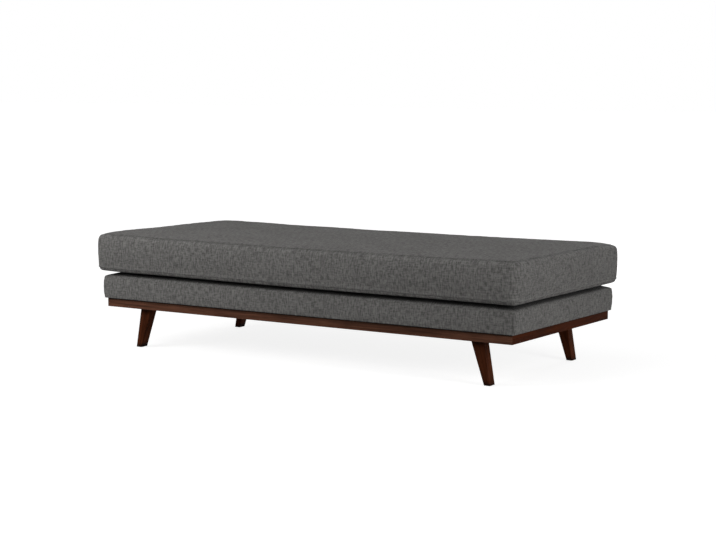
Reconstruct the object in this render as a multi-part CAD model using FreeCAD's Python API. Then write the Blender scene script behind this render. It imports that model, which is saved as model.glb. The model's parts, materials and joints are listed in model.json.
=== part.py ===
import FreeCAD, Part
import os
from FreeCAD import Vector

# A backless divan: a wooden plinth on four splayed legs, an upholstered seat box and a loose cushion.
# Millimetres. X runs along the length, the front faces -Y, Z is up, and the origin is on the floor
# under the middle of the seat.

# Plinth, the show-wood band round the foot of the seat box
PLINTH_LENGTH = 1856.0
PLINTH_DEPTH = 790.0
PLINTH_HEIGHT = 35.0
PLINTH_THICKNESS = 22.0
PLINTH_EDGE_ROUND = 2.0
FLOOR_CLEARANCE = 165.0

# Bearers inside the plinth, which carry the legs, and the dowels in their ends
LEG_BEARER_WIDTH = 90.0
CENTRE_BEARER_WIDTH = 70.0
DOWEL_RADIUS = 4.0
DOWEL_IN_RAIL = 12.0
DOWEL_IN_BEARER = 18.0
DOWEL_EDGE = 13.0

# Legs, flat tapered blanks that lean out along the length
LEG_TOP_WIDTH = 53.0
LEG_FOOT_WIDTH = 24.5
LEG_THICKNESS = 40.0
LEG_EDGE_ROUND = 3.0
LEG_END_INSET = 165.0
LEG_SIDE_INSET = 62.0
LEG_SPLAY = 42.0

# Leg hardware
LEG_PLATE_LENGTH = 56.0
LEG_PLATE_DEPTH = 76.0
LEG_PLATE_THICKNESS = 3.0
LEG_PLATE_CORNER = 6.0
LEG_PLATE_SCREW_X = 20.0
LEG_PLATE_SCREW_Y = 30.0
LEG_BOLT_RADIUS = 4.0
LEG_BOLT_IN_LEG = 45.0
LEG_BOLT_IN_BEARER = 20.0
LEG_BOLT_HOLE_RADIUS = 5.0
GLIDE_RADIUS = 9.0
GLIDE_THICKNESS = 2.5
GLIDE_PIN_RADIUS = 1.5
GLIDE_PIN_LENGTH = 14.0

# Screws
PLATE_SCREW_RADIUS = 2.0
PLATE_SCREW_LENGTH = 18.0
PLATE_SCREW_HEAD_RADIUS = 4.0
PLATE_SCREW_HEAD_HEIGHT = 2.2
FRAME_SCREW_RADIUS = 2.0
FRAME_SCREW_LENGTH = 45.0
FRAME_SCREW_HEAD_RADIUS = 4.0
FRAME_SCREW_HEAD_HEIGHT = 2.5
FIXING_SCREW_RADIUS = 2.5
FIXING_SCREW_LENGTH = 60.0
FIXING_SCREW_HEAD_RADIUS = 5.0
FIXING_SCREW_HEAD_HEIGHT = 3.0

# Corner blocks of the plinth and corner braces of the seat frame
PLINTH_BLOCK_SIDE = 64.0
PLINTH_BLOCK_LIFT = 5.0
SEAT_BRACE_SIDE = 70.0
SEAT_BRACE_HEIGHT = 40.0
BLOCK_SCREW_GRIP = 28.0
BLOCK_SCREW_OFFSET = 20.0
FIXING_SCREW_NEAR = 10.0
FIXING_SCREW_FAR = 34.0
CENTRE_FIXING_SPACING = 400.0

# Seat frame
SEAT_RAIL_HEIGHT = 66.0
SEAT_RAIL_THICKNESS = 25.0
STRETCHER_WIDTH = 44.0
STRETCHER_HEIGHT = 38.0
STRETCHER_SPACING = 464.0
STRETCHER_SCREW_SPACING = 20.0

# Zigzag springs, their clips, nails and tie wires
SPRING_RADIUS = 1.9
SPRING_WIDTH = 50.0
SPRING_LOOP_PITCH = 25.5
SPRING_SPACING = 134.0
SPRING_END_ROOM = 60.0
CLIP_THICKNESS = 1.0
CLIP_WIDTH = 18.0
CLIP_DEPTH = 22.0
CLIP_NAIL_RADIUS = 1.0
CLIP_NAIL_LENGTH = 16.0
CLIP_NAIL_HEAD_RADIUS = 2.2
CLIP_NAIL_HEAD_HEIGHT = 0.8
CLIP_NAIL_SPACING = 15.0
TIE_RADIUS = 1.0
TIE_SPACING = 260.0
TIE_IN_RAIL = 19.0

# Upholstery of the seat box
DECK_HEIGHT = 104.0
DECK_OVERHANG = 12.0
DECK_TOP_ROUND = 18.0
DECK_CORNER_ROUND = 20.0
COVER_THICKNESS = 1.6
HEM_WIDTH = 36.0
SPRING_PAD_THICKNESS = 3.0
DUST_COVER_THICKNESS = 0.6
DUST_COVER_INSET = 6.0
STAPLE_WIRE = 0.5
STAPLE_BREADTH = 1.0
STAPLE_CROWN = 10.0
STAPLE_BITE = 6.0
STAPLE_INSET = 12.0
STAPLE_PITCH = 110.0
STAPLE_END_ROOM = 60.0

# Loose cushion
CUSHION_THICKNESS = 158.7
CUSHION_OVERHANG = 29.0
CUSHION_TOP_ROUND = 20.0
CUSHION_BOTTOM_ROUND = 18.0
CUSHION_CORNER_ROUND = 30.0
WADDING_THICKNESS = 12.0
CORE_EDGE_ROUND = 12.0
CUSHION_SEAT_GAP = 0.3

# Zip in the back of the cushion cover
ZIP_END_INSET = 203.0
ZIP_HEIGHT_UP_CUSHION = 80.0
PLACKET_HEIGHT = 26.0
PLACKET_DEPTH = 5.0
PLACKET_END_ROOM = 24.0
ZIP_SLOT_HEIGHT = 12.0
TAPE_HEIGHT = 13.4
TAPE_THICKNESS = 0.8
COIL_HEIGHT = 2.4
COIL_DEPTH = 2.0
ZIP_SLIT = 1.2
STOP_LENGTH = 4.0
STOP_OVERLAP = 0.4
SLIDER_LENGTH = 13.0
SLIDER_PLATE = 1.0
SLIDER_FLANGE = 0.9
SLIDER_NECK_LENGTH = 3.0
PULL_PIN_RADIUS = 0.75
PULL_EYE_RADIUS = 1.5
PULL_EYE_WIDTH = 5.0
PULL_LENGTH = 20.0
PULL_WIDTH = 7.0
PULL_THICKNESS = 1.2

# Clearances
FIT = 0.1
RUNNING = 0.3
PULL_EYE_CLEARANCE = 0.1

# Levels and places that follow from the sizes above
PLINTH_BASE = FLOOR_CLEARANCE
PLINTH_TOP = PLINTH_BASE + PLINTH_HEIGHT
PLINTH_INNER_X = PLINTH_LENGTH / 2 - PLINTH_THICKNESS
PLINTH_INNER_Y = PLINTH_DEPTH / 2 - PLINTH_THICKNESS
BEARER_BASE = PLINTH_BASE + LEG_PLATE_THICKNESS
BEARER_MIDDLE = (BEARER_BASE + PLINTH_TOP) / 2
LEG_X = PLINTH_LENGTH / 2 - LEG_END_INSET
LEG_Y = PLINTH_DEPTH / 2 - LEG_SIDE_INSET
FOOT_X = LEG_X + LEG_SPLAY
SEAT_BASE = PLINTH_TOP + DUST_COVER_THICKNESS + COVER_THICKNESS
SEAT_INNER_X = PLINTH_LENGTH / 2 - SEAT_RAIL_THICKNESS
SEAT_INNER_Y = PLINTH_DEPTH / 2 - SEAT_RAIL_THICKNESS
SEAT_RAIL_TOP = SEAT_BASE + SEAT_RAIL_HEIGHT
SPRING_Z = SEAT_RAIL_TOP + CLIP_THICKNESS + FIT + SPRING_RADIUS
SPRING_END_Y = PLINTH_DEPTH / 2 - SEAT_RAIL_THICKNESS / 2
CLIP_TOP = SPRING_Z + SPRING_RADIUS + FIT + CLIP_THICKNESS
SPRING_PAD_BASE = CLIP_TOP + FIT
DECK_FOAM_BASE = SPRING_PAD_BASE + SPRING_PAD_THICKNESS
DECK_TOP = PLINTH_TOP + DECK_HEIGHT
DECK_X = PLINTH_LENGTH / 2 + DECK_OVERHANG
DECK_Y = PLINTH_DEPTH / 2 + DECK_OVERHANG
HEM_BASE = PLINTH_TOP + DUST_COVER_THICKNESS
CUSHION_BASE = DECK_TOP + CUSHION_SEAT_GAP
CUSHION_TOP = CUSHION_BASE + CUSHION_THICKNESS
CUSHION_X = PLINTH_LENGTH / 2 + CUSHION_OVERHANG
CUSHION_Y = PLINTH_DEPTH / 2 + CUSHION_OVERHANG
ZIP_LENGTH = 2 * (CUSHION_X - ZIP_END_INSET)
ZIP_Z = CUSHION_BASE + ZIP_HEIGHT_UP_CUSHION
PLACKET_FACE = CUSHION_Y - PLACKET_DEPTH
TAPE_FACE = PLACKET_FACE - COVER_THICKNESS
TAPE_BACK = TAPE_FACE - TAPE_THICKNESS
COIL_FACE = TAPE_FACE + COIL_DEPTH
COIL_TOP = ZIP_SLIT / 2 + COIL_HEIGHT
SLIDER_FACE = COIL_FACE + RUNNING + SLIDER_PLATE
SLIDER_BACK = TAPE_BACK - RUNNING - SLIDER_PLATE
SLIDER_HALF_HEIGHT = COIL_TOP + RUNNING + SLIDER_FLANGE
SLIDER_X = ZIP_LENGTH / 2 - STOP_LENGTH - RUNNING - SLIDER_LENGTH / 2
PULL_PIVOT_Y = SLIDER_FACE + RUNNING + PULL_EYE_RADIUS

X_AXIS = Vector(1, 0, 0)
Y_AXIS = Vector(0, 1, 0)
Z_AXIS = Vector(0, 0, 1)
ORIGIN = Vector(0, 0, 0)
BEARERS = (
    ("leg_bearer_left", -LEG_X, LEG_BEARER_WIDTH),
    ("centre_bearer", 0, CENTRE_BEARER_WIDTH),
    ("leg_bearer_right", LEG_X, LEG_BEARER_WIDTH),
)
CORNERS = (
    ("front_left", -1, -1),
    ("front_right", 1, -1),
    ("back_left", -1, 1),
    ("back_right", 1, 1),
)


def export(name, *solids):
    """Writes one piece, or one group of like pieces."""
    shape = solids[0] if len(solids) == 1 else Part.makeCompound(list(solids))
    shape.exportStep(f"parts/{name}.step")


def block(x, y, z):
    """A box between two coordinates on each axis."""
    return Part.makeBox(x[1] - x[0], y[1] - y[0], z[1] - z[0], Vector(x[0], y[0], z[0]))


def rod(start, end, radius):
    """A round bar from one point to another."""
    return Part.makeCylinder(radius, (end - start).Length, start, end - start)


def prism(outline, low, high):
    """An upright solid on a plan outline."""
    points = [Vector(x, y, low) for x, y in outline]
    face = Part.Face(Part.makePolygon(points + points[:1]))
    return face.extrude(Vector(0, 0, high - low))


def edges_where(shape, test):
    """The edges whose two ends both pass a test."""
    return [e for e in shape.Edges if all(test(v.Point) for v in e.Vertexes)]


def near(a, b):
    return abs(a - b) < 1e-6


def cut_all(shape, tools):
    """A piece less a list of holes."""
    return shape.cut(Part.makeCompound(tools)) if tools else shape


def to_corner(shape, x_side, y_side):
    """A piece drawn at the back right, mirrored to another corner."""
    if x_side < 0:
        shape = shape.mirror(ORIGIN, X_AXIS)
    if y_side < 0:
        shape = shape.mirror(ORIGIN, Y_AXIS)
    return shape.copy()


def in_four_corners(shapes):
    """Copies of pieces drawn at the back right, in all four corners."""
    return [to_corner(s, x_side, y_side) for _, x_side, y_side in CORNERS for s in shapes]


def rounded_box(half_x, half_y, low, high, corner_round, top_round, bottom_round):
    """A box with round upright corners, and round edges at its top and, where asked, its bottom."""
    box = block((-half_x, half_x), (-half_y, half_y), (low, high))
    upright = [e for e in box.Edges if not near(e.Vertexes[0].Z, e.Vertexes[1].Z)]
    box = box.makeFillet(corner_round, upright)
    box = box.makeFillet(top_round, edges_where(box, lambda p: near(p.z, high)))
    if bottom_round:
        box = box.makeFillet(bottom_round, edges_where(box, lambda p: near(p.z, low)))
    return box


def screw(seat, direction, radius, length, head_radius, head_height, room=0.0):
    """A screw whose head bears at a point, or, with some room, the hole that takes it."""
    shank = rod(seat, seat + direction * (length + room), radius + room)
    head = rod(seat - direction * (head_height + room), seat, head_radius + room)
    return shank.fuse(head).removeSplitter()


def plate_screw(seat, direction, room=0.0):
    sizes = (PLATE_SCREW_RADIUS, PLATE_SCREW_LENGTH, PLATE_SCREW_HEAD_RADIUS, PLATE_SCREW_HEAD_HEIGHT)
    return screw(seat, direction, *sizes, room)


def frame_screw(seat, direction, room=0.0):
    sizes = (FRAME_SCREW_RADIUS, FRAME_SCREW_LENGTH, FRAME_SCREW_HEAD_RADIUS, FRAME_SCREW_HEAD_HEIGHT)
    return screw(seat, direction, *sizes, room)


def fixing_screw(seat, direction, room=0.0):
    sizes = (FIXING_SCREW_RADIUS, FIXING_SCREW_LENGTH, FIXING_SCREW_HEAD_RADIUS, FIXING_SCREW_HEAD_HEIGHT)
    return screw(seat, direction, *sizes, room)


# Corner blocks and their screws, drawn at the back right

def corner_block(corner_x, corner_y, side, low, high):
    """A triangular block glued into an inside corner, with sunk seats for its two screws."""
    outline = [(corner_x, corner_y), (corner_x - side, corner_y), (corner_x, corner_y - side)]
    body = prism(outline, low, high)
    for seat, direction in corner_screw_seats(corner_x, corner_y, low, high):
        body = body.cut(frame_screw(seat, direction, FIT))
        body = body.cut(rod(seat, seat - direction * side, FRAME_SCREW_HEAD_RADIUS + FIT))
    return body


def corner_screw_seats(corner_x, corner_y, low, high):
    """Where the two screws of a corner block bear, one into each rail, one above the other."""
    third = (high - low) / 3
    into_end = Vector(corner_x - BLOCK_SCREW_GRIP, corner_y - BLOCK_SCREW_OFFSET, low + third)
    into_side = Vector(corner_x - BLOCK_SCREW_OFFSET, corner_y - BLOCK_SCREW_GRIP, high - third)
    return ((into_end, X_AXIS), (into_side, Y_AXIS))


def corner_fixing_points():
    """The two upright screws in each corner, which hold the seat box on the plinth."""
    places = ((FIXING_SCREW_NEAR, FIXING_SCREW_FAR), (FIXING_SCREW_FAR, FIXING_SCREW_NEAR))
    low = PLINTH_BASE + PLINTH_BLOCK_LIFT
    return [Vector(PLINTH_INNER_X - x, PLINTH_INNER_Y - y, low) for x, y in places]


PLINTH_BLOCK_LEVELS = (PLINTH_BASE + PLINTH_BLOCK_LIFT, PLINTH_TOP)
SEAT_BRACE_LEVELS = (SEAT_BASE, SEAT_BASE + SEAT_BRACE_HEIGHT)
PLINTH_BLOCK_SEATS = corner_screw_seats(PLINTH_INNER_X, PLINTH_INNER_Y, *PLINTH_BLOCK_LEVELS)
SEAT_BRACE_SEATS = corner_screw_seats(SEAT_INNER_X, SEAT_INNER_Y, *SEAT_BRACE_LEVELS)


# Where the frame screws of the seat go through the long rails

def joint_screw_seats():
    """Two screws through the end of the back rail into the right end rail."""
    x = PLINTH_LENGTH / 2 - SEAT_RAIL_THICKNESS / 2
    y = PLINTH_DEPTH / 2 - FRAME_SCREW_HEAD_HEIGHT
    levels = (SEAT_BASE + 0.4 * SEAT_RAIL_HEIGHT, SEAT_BASE + 0.8 * SEAT_RAIL_HEIGHT)
    return [(Vector(x, y, z), -Y_AXIS) for z in levels]


def stretcher_screw_seats():
    """Two screws through the back rail into the end of each stretcher."""
    y = PLINTH_DEPTH / 2 - FRAME_SCREW_HEAD_HEIGHT
    z = SEAT_BASE + STRETCHER_HEIGHT / 2
    half = STRETCHER_SCREW_SPACING / 2
    return [
        (Vector(x + side * half, y, z), -Y_AXIS)
        for x in (-STRETCHER_SPACING, 0, STRETCHER_SPACING)
        for side in (-1, 1)
    ]


def seat_frame_screws(room=0.0):
    """Every screw in the seat frame, or the holes for them."""
    corners = [frame_screw(s, d, room) for s, d in joint_screw_seats() + list(SEAT_BRACE_SEATS)]
    stretchers = [frame_screw(s, d, room) for s, d in stretcher_screw_seats()]
    front = [s.mirror(ORIGIN, Y_AXIS) for s in stretchers]
    return in_four_corners(corners) + stretchers + front


# Plinth

def plinth_rail(length, depth):
    """The rail along the front of a plinth, with eased outer edges and mitred ends."""
    front = -depth / 2
    back = front + PLINTH_THICKNESS
    rail = block((-length / 2, length / 2), (front, back), (PLINTH_BASE, PLINTH_TOP))
    outer = [
        e for e in edges_where(rail, lambda p: near(p.y, front))
        if near(e.Vertexes[0].Z, e.Vertexes[1].Z)
    ]
    rail = rail.makeFillet(PLINTH_EDGE_ROUND, outer)
    long_side = length / 2
    short_side = length / 2 - PLINTH_THICKNESS
    mitred = [(-long_side, front), (long_side, front), (short_side, back), (-short_side, back)]
    return rail.common(prism(mitred, PLINTH_BASE, PLINTH_TOP))


def dowels(room=0.0):
    """The dowels that join the three bearers to the front and back rails, or their holes."""
    made = []
    for _, x, width in BEARERS:
        for x_side in (-1, 1):
            for y_side in (-1, 1):
                place = x + x_side * (width / 2 - DOWEL_EDGE)
                outer = Vector(place, y_side * (PLINTH_INNER_Y + DOWEL_IN_RAIL + room), BEARER_MIDDLE)
                inner = Vector(place, y_side * (PLINTH_INNER_Y - DOWEL_IN_BEARER - room), BEARER_MIDDLE)
                made.append(rod(inner, outer, DOWEL_RADIUS + room))
    return made


def fixing_screws(room=0.0):
    """The upright screws from the plinth into the seat frame, or their holes."""
    corners = [fixing_screw(p, Z_AXIS, room) for p in corner_fixing_points()]
    middle = [
        fixing_screw(Vector(0, side * CENTRE_FIXING_SPACING / 2, BEARER_BASE), Z_AXIS, room)
        for side in (-1, 1)
    ]
    return in_four_corners(corners) + middle


def make_plinth():
    holes = dowels(FIT) + in_four_corners([frame_screw(s, d, FIT) for s, d in PLINTH_BLOCK_SEATS])
    front = plinth_rail(PLINTH_LENGTH, PLINTH_DEPTH)
    side = plinth_rail(PLINTH_DEPTH, PLINTH_LENGTH)
    rails = {
        "plinth_front_rail": front,
        "plinth_back_rail": front.rotated(ORIGIN, Z_AXIS, 180),
        "plinth_right_rail": side.rotated(ORIGIN, Z_AXIS, 90),
        "plinth_left_rail": side.rotated(ORIGIN, Z_AXIS, -90),
    }
    for name, rail in rails.items():
        export(name, cut_all(rail, holes))

    corner = corner_block(PLINTH_INNER_X, PLINTH_INNER_Y, PLINTH_BLOCK_SIDE, *PLINTH_BLOCK_LEVELS)
    corner = cut_all(corner, [fixing_screw(p, Z_AXIS, FIT) for p in corner_fixing_points()])
    for name, x_side, y_side in CORNERS:
        export(f"plinth_block_{name}", to_corner(corner, x_side, y_side))

    bearer_holes = dowels(FIT) + fixing_screws(FIT) + leg_plate_screws(FIT) + leg_bolt_holes()
    for name, x, width in BEARERS:
        span = (x - width / 2, x + width / 2)
        bearer = block(span, (-PLINTH_INNER_Y, PLINTH_INNER_Y), (BEARER_BASE, PLINTH_TOP))
        export(name, cut_all(bearer, bearer_holes))
    export("plinth_dowels", *dowels())


# Legs and their hardware

def leg_side(height, side):
    """How far out one side of the leg lies at a height; side is -1 for the inner, 1 for the outer."""
    share = height / FLOOR_CLEARANCE
    centre = FOOT_X + (LEG_X - FOOT_X) * share
    width = LEG_FOOT_WIDTH + (LEG_TOP_WIDTH - LEG_FOOT_WIDTH) * share
    return centre + side * width / 2


def leg():
    """The back right leg."""
    near_face = LEG_Y - LEG_THICKNESS / 2
    low, high = GLIDE_THICKNESS, FLOOR_CLEARANCE
    outline = [
        Vector(leg_side(low, -1), near_face, low),
        Vector(leg_side(low, 1), near_face, low),
        Vector(leg_side(high, 1), near_face, high),
        Vector(leg_side(high, -1), near_face, high),
    ]
    blank = Part.Face(Part.makePolygon(outline + outline[:1])).extrude(Vector(0, LEG_THICKNESS, 0))
    long_edges = [e for e in blank.Edges if not near(e.Vertexes[0].Z, e.Vertexes[1].Z)]
    blank = blank.makeFillet(LEG_EDGE_ROUND, long_edges)
    return blank.cut(leg_bolt(FIT)).cut(glide(FIT))


def leg_bolt(room=0.0):
    """The stud in the top of the back right leg, or the hole for it in the leg."""
    low = PLINTH_BASE - LEG_BOLT_IN_LEG - room
    high = BEARER_BASE + LEG_BOLT_IN_BEARER
    return rod(Vector(LEG_X, LEG_Y, low), Vector(LEG_X, LEG_Y, high), LEG_BOLT_RADIUS + room)


def leg_bolt_holes():
    """The wider blind holes in the bearers over the leg bolts."""
    top = BEARER_BASE + LEG_BOLT_IN_BEARER + RUNNING
    hole = rod(Vector(LEG_X, LEG_Y, BEARER_BASE), Vector(LEG_X, LEG_Y, top), LEG_BOLT_HOLE_RADIUS)
    return in_four_corners([hole])


def leg_plate_screws(room=0.0):
    """The four screws of every leg plate, or their holes."""
    made = [
        plate_screw(
            Vector(LEG_X + x_side * LEG_PLATE_SCREW_X, LEG_Y + y_side * LEG_PLATE_SCREW_Y, PLINTH_BASE),
            Z_AXIS,
            room,
        )
        for x_side in (-1, 1)
        for y_side in (-1, 1)
    ]
    return in_four_corners(made)


def leg_plate():
    """The steel plate between the back right leg and its bearer."""
    plate = block(
        (LEG_X - LEG_PLATE_LENGTH / 2, LEG_X + LEG_PLATE_LENGTH / 2),
        (LEG_Y - LEG_PLATE_DEPTH / 2, LEG_Y + LEG_PLATE_DEPTH / 2),
        (PLINTH_BASE, BEARER_BASE),
    )
    upright = [e for e in plate.Edges if not near(e.Vertexes[0].Z, e.Vertexes[1].Z)]
    plate = plate.makeFillet(LEG_PLATE_CORNER, upright)
    return cut_all(plate.cut(leg_bolt(FIT)), leg_plate_screws(FIT))


def glide(room=0.0):
    """The nailed glide under the back right foot, or the hole for its pin."""
    foot = Vector(FOOT_X, LEG_Y, GLIDE_THICKNESS)
    pin = rod(foot, foot + Vector(0, 0, GLIDE_PIN_LENGTH + room), GLIDE_PIN_RADIUS + room)
    if room:
        return pin
    disc = rod(Vector(FOOT_X, LEG_Y, 0), foot, GLIDE_RADIUS)
    return disc.fuse(pin).removeSplitter()


def make_legs():
    one_leg = leg()
    one_glide = glide()
    for name, x_side, y_side in CORNERS:
        export(f"leg_{name}", to_corner(one_leg, x_side, y_side))
        export(f"glide_{name}", to_corner(one_glide, x_side, y_side))
    export("leg_plates", *in_four_corners([leg_plate()]))
    export("leg_bolts", *in_four_corners([leg_bolt()]))
    export("leg_plate_screws", *leg_plate_screws())


# Seat frame

def tie_wires(room=0.0):
    """The two wires that run under the springs from end rail to end rail, or their grooves."""
    z = SPRING_Z - SPRING_RADIUS - FIT - TIE_RADIUS
    x = SEAT_INNER_X + TIE_IN_RAIL + room
    return [
        rod(Vector(-x, side * TIE_SPACING / 2, z), Vector(x, side * TIE_SPACING / 2, z), TIE_RADIUS + room)
        for side in (-1, 1)
    ]


def make_seat_frame():
    levels = (SEAT_BASE, SEAT_RAIL_TOP)
    half_x, half_y = PLINTH_LENGTH / 2, PLINTH_DEPTH / 2
    holes = seat_frame_screws(FIT) + clip_nails(FIT) + staples() + tie_wires(FIT)
    rails = {
        "seat_front_rail": block((-half_x, half_x), (-half_y, -SEAT_INNER_Y), levels),
        "seat_back_rail": block((-half_x, half_x), (SEAT_INNER_Y, half_y), levels),
        "seat_left_rail": block((-half_x, -SEAT_INNER_X), (-SEAT_INNER_Y, SEAT_INNER_Y), levels),
        "seat_right_rail": block((SEAT_INNER_X, half_x), (-SEAT_INNER_Y, SEAT_INNER_Y), levels),
    }
    for name, rail in rails.items():
        export(name, cut_all(rail, holes))

    brace = corner_block(SEAT_INNER_X, SEAT_INNER_Y, SEAT_BRACE_SIDE, *SEAT_BRACE_LEVELS)
    brace = cut_all(brace, [fixing_screw(p, Z_AXIS, FIT) for p in corner_fixing_points()])
    for name, x_side, y_side in CORNERS:
        export(f"seat_brace_{name}", to_corner(brace, x_side, y_side))

    stretcher_holes = seat_frame_screws(FIT) + fixing_screws(FIT)
    for name, x in (("left", -STRETCHER_SPACING), ("centre", 0), ("right", STRETCHER_SPACING)):
        span = (x - STRETCHER_WIDTH / 2, x + STRETCHER_WIDTH / 2)
        body = block(span, (-SEAT_INNER_Y, SEAT_INNER_Y), (SEAT_BASE, SEAT_BASE + STRETCHER_HEIGHT))
        export(f"seat_stretcher_{name}", cut_all(body, stretcher_holes))

    plinth_block_screws = in_four_corners([frame_screw(s, d) for s, d in PLINTH_BLOCK_SEATS])
    export("frame_screws", *plinth_block_screws, *seat_frame_screws())
    export("fixing_screws", *fixing_screws())


# Springs

def spring_places():
    """The middle of each spring along the length, spaced evenly about the centre."""
    reach = SEAT_INNER_X - SPRING_END_ROOM
    each_side = int(reach // SPRING_SPACING)
    return [i * SPRING_SPACING for i in range(-each_side, each_side + 1)]


def spring():
    """One zigzag spring of round wire, lying flat from the front rail to the back rail."""
    span = 2 * SPRING_END_Y
    loops = max(2, round(span / SPRING_LOOP_PITCH))
    bend = span / loops / 2
    straight = max(SPRING_WIDTH / 2 - SPRING_RADIUS - bend, 1.0)
    edges = []
    side = 1
    for i in range(loops + 1):
        y = -SPRING_END_Y + 2 * bend * i
        start, end = Vector(-side * straight, y, SPRING_Z), Vector(side * straight, y, SPRING_Z)
        edges.append(Part.LineSegment(start, end).toShape())
        if i < loops:
            middle = Vector(side * (straight + bend), y + bend, SPRING_Z)
            after = Vector(side * straight, y + 2 * bend, SPRING_Z)
            edges.append(Part.Arc(end, middle, after).toShape())
        side = -side
    path = Part.Wire(edges)
    start = Vector(-straight, -SPRING_END_Y, SPRING_Z)
    section = Part.Wire(Part.makeCircle(SPRING_RADIUS, start, X_AXIS))
    return path.makePipeShell([section], True, False)


def spring_clip():
    """The steel clip that holds a spring's end on the back rail: a nailed plate curled over the wire."""
    half = CLIP_WIDTH / 2
    low = SEAT_RAIL_TOP
    depth = (SPRING_END_Y - CLIP_DEPTH / 2, SPRING_END_Y + CLIP_DEPTH / 2)
    plate = block((-half, half), depth, (low, low + CLIP_THICKNESS))
    left = Vector(-half, SPRING_END_Y, SPRING_Z)
    right = Vector(half, SPRING_END_Y, SPRING_Z)
    inner_radius = SPRING_RADIUS + FIT
    outer_radius = inner_radius + CLIP_THICKNESS
    curl = rod(left, right, outer_radius)
    mouth_depth = (SPRING_END_Y - outer_radius, SPRING_END_Y)
    curl = curl.cut(block((-half, half), mouth_depth, (low + CLIP_THICKNESS, SPRING_Z)))
    return plate.fuse(curl).cut(rod(left, right, inner_radius)).removeSplitter()


def clip_nails(room=0.0):
    """Two nails through every clip into the rail, or their holes."""
    made = []
    for x in spring_places():
        for y_side in (-1, 1):
            for nail_side in (-1, 1):
                y = y_side * SPRING_END_Y + nail_side * CLIP_NAIL_SPACING / 2
                seat = Vector(x, y, SEAT_RAIL_TOP + CLIP_THICKNESS)
                sizes = (CLIP_NAIL_RADIUS, CLIP_NAIL_LENGTH, CLIP_NAIL_HEAD_RADIUS, CLIP_NAIL_HEAD_HEIGHT)
                made.append(screw(seat, -Z_AXIS, *sizes, room))
    return made


def make_springs():
    one_spring = spring()
    back_clip = spring_clip()
    front_clip = back_clip.mirror(ORIGIN, Y_AXIS)
    holes = clip_nails(FIT)
    springs, clips = [], []
    for x in spring_places():
        offset = Vector(x, 0, 0)
        springs.append(one_spring.translated(offset))
        for clip in (front_clip, back_clip):
            clips.append(cut_all(clip.translated(offset), holes))
    export("seat_springs", *springs)
    export("spring_clips", *clips)
    export("clip_nails", *clip_nails())
    export("spring_ties", *tie_wires())


# Upholstery of the seat box

def deck_inside():
    """The space inside the cover of the seat box."""
    return rounded_box(
        DECK_X - COVER_THICKNESS,
        DECK_Y - COVER_THICKNESS,
        SEAT_BASE,
        DECK_TOP - COVER_THICKNESS,
        DECK_CORNER_ROUND - COVER_THICKNESS,
        DECK_TOP_ROUND - COVER_THICKNESS,
        0,
    )


def staple_row(length):
    """Evenly spaced places along a side, a little in from both ends."""
    reach = length / 2 - STAPLE_END_ROOM
    gaps = max(1, round(2 * reach / STAPLE_PITCH))
    return [-reach + 2 * reach * i / gaps for i in range(gaps + 1)]


def staple():
    """A staple with its crown along X, under the origin, and its two legs up."""
    half = STAPLE_CROWN / 2
    breadth = (-STAPLE_BREADTH / 2, STAPLE_BREADTH / 2)
    crown = block((-half, half), breadth, (PLINTH_TOP, PLINTH_TOP + STAPLE_WIRE))
    top = SEAT_BASE + STAPLE_BITE
    left = block((-half, -half + STAPLE_WIRE), breadth, (PLINTH_TOP, top))
    right = block((half - STAPLE_WIRE, half), breadth, (PLINTH_TOP, top))
    return crown.fuse([left, right]).removeSplitter()


def staples():
    """Staples all round, through the dust cover and the hem into the seat rails."""
    one = staple()
    turned = one.rotated(ORIGIN, Z_AXIS, 90)
    x_in = PLINTH_LENGTH / 2 - STAPLE_INSET
    y_in = PLINTH_DEPTH / 2 - STAPLE_INSET
    along = [
        one.translated(Vector(x, side * y_in, 0))
        for side in (-1, 1)
        for x in staple_row(PLINTH_LENGTH)
    ]
    across = [
        turned.translated(Vector(side * x_in, y, 0))
        for side in (-1, 1)
        for y in staple_row(PLINTH_DEPTH)
    ]
    return along + across


def make_deck():
    inside = deck_inside()
    outside = rounded_box(DECK_X, DECK_Y, HEM_BASE, DECK_TOP, DECK_CORNER_ROUND, DECK_TOP_ROUND, 0)
    hem_hole = block(
        (-DECK_X + HEM_WIDTH, DECK_X - HEM_WIDTH),
        (-DECK_Y + HEM_WIDTH, DECK_Y - HEM_WIDTH),
        (HEM_BASE, SEAT_BASE),
    )
    cover = outside.cut(inside).cut(hem_hole)
    export("deck_cover", cut_all(cover, staples()))

    half_x, half_y = PLINTH_LENGTH / 2, PLINTH_DEPTH / 2
    pad_levels = (SEAT_BASE, DECK_FOAM_BASE)
    pads = {
        "edge_pad_front": block((-DECK_X, DECK_X), (-DECK_Y, -half_y), pad_levels),
        "edge_pad_back": block((-DECK_X, DECK_X), (half_y, DECK_Y), pad_levels),
        "edge_pad_left": block((-DECK_X, -half_x), (-half_y, half_y), pad_levels),
        "edge_pad_right": block((half_x, DECK_X), (-half_y, half_y), pad_levels),
    }
    for name, pad in pads.items():
        export(name, pad.common(inside))

    pad_top = (SPRING_PAD_BASE, DECK_FOAM_BASE)
    export("spring_pad", block((-half_x, half_x), (-half_y, half_y), pad_top))
    foam = block((-DECK_X, DECK_X), (-DECK_Y, DECK_Y), (DECK_FOAM_BASE, DECK_TOP))
    export("deck_foam", foam.common(inside))

    dust_x = PLINTH_LENGTH / 2 - DUST_COVER_INSET
    dust_y = PLINTH_DEPTH / 2 - DUST_COVER_INSET
    dust_cover = block((-dust_x, dust_x), (-dust_y, dust_y), (PLINTH_TOP, HEM_BASE))
    export("dust_cover", cut_all(dust_cover, staples() + fixing_screws(FIT)))
    export("dust_cover_staples", *staples())


# Loose cushion

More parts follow.
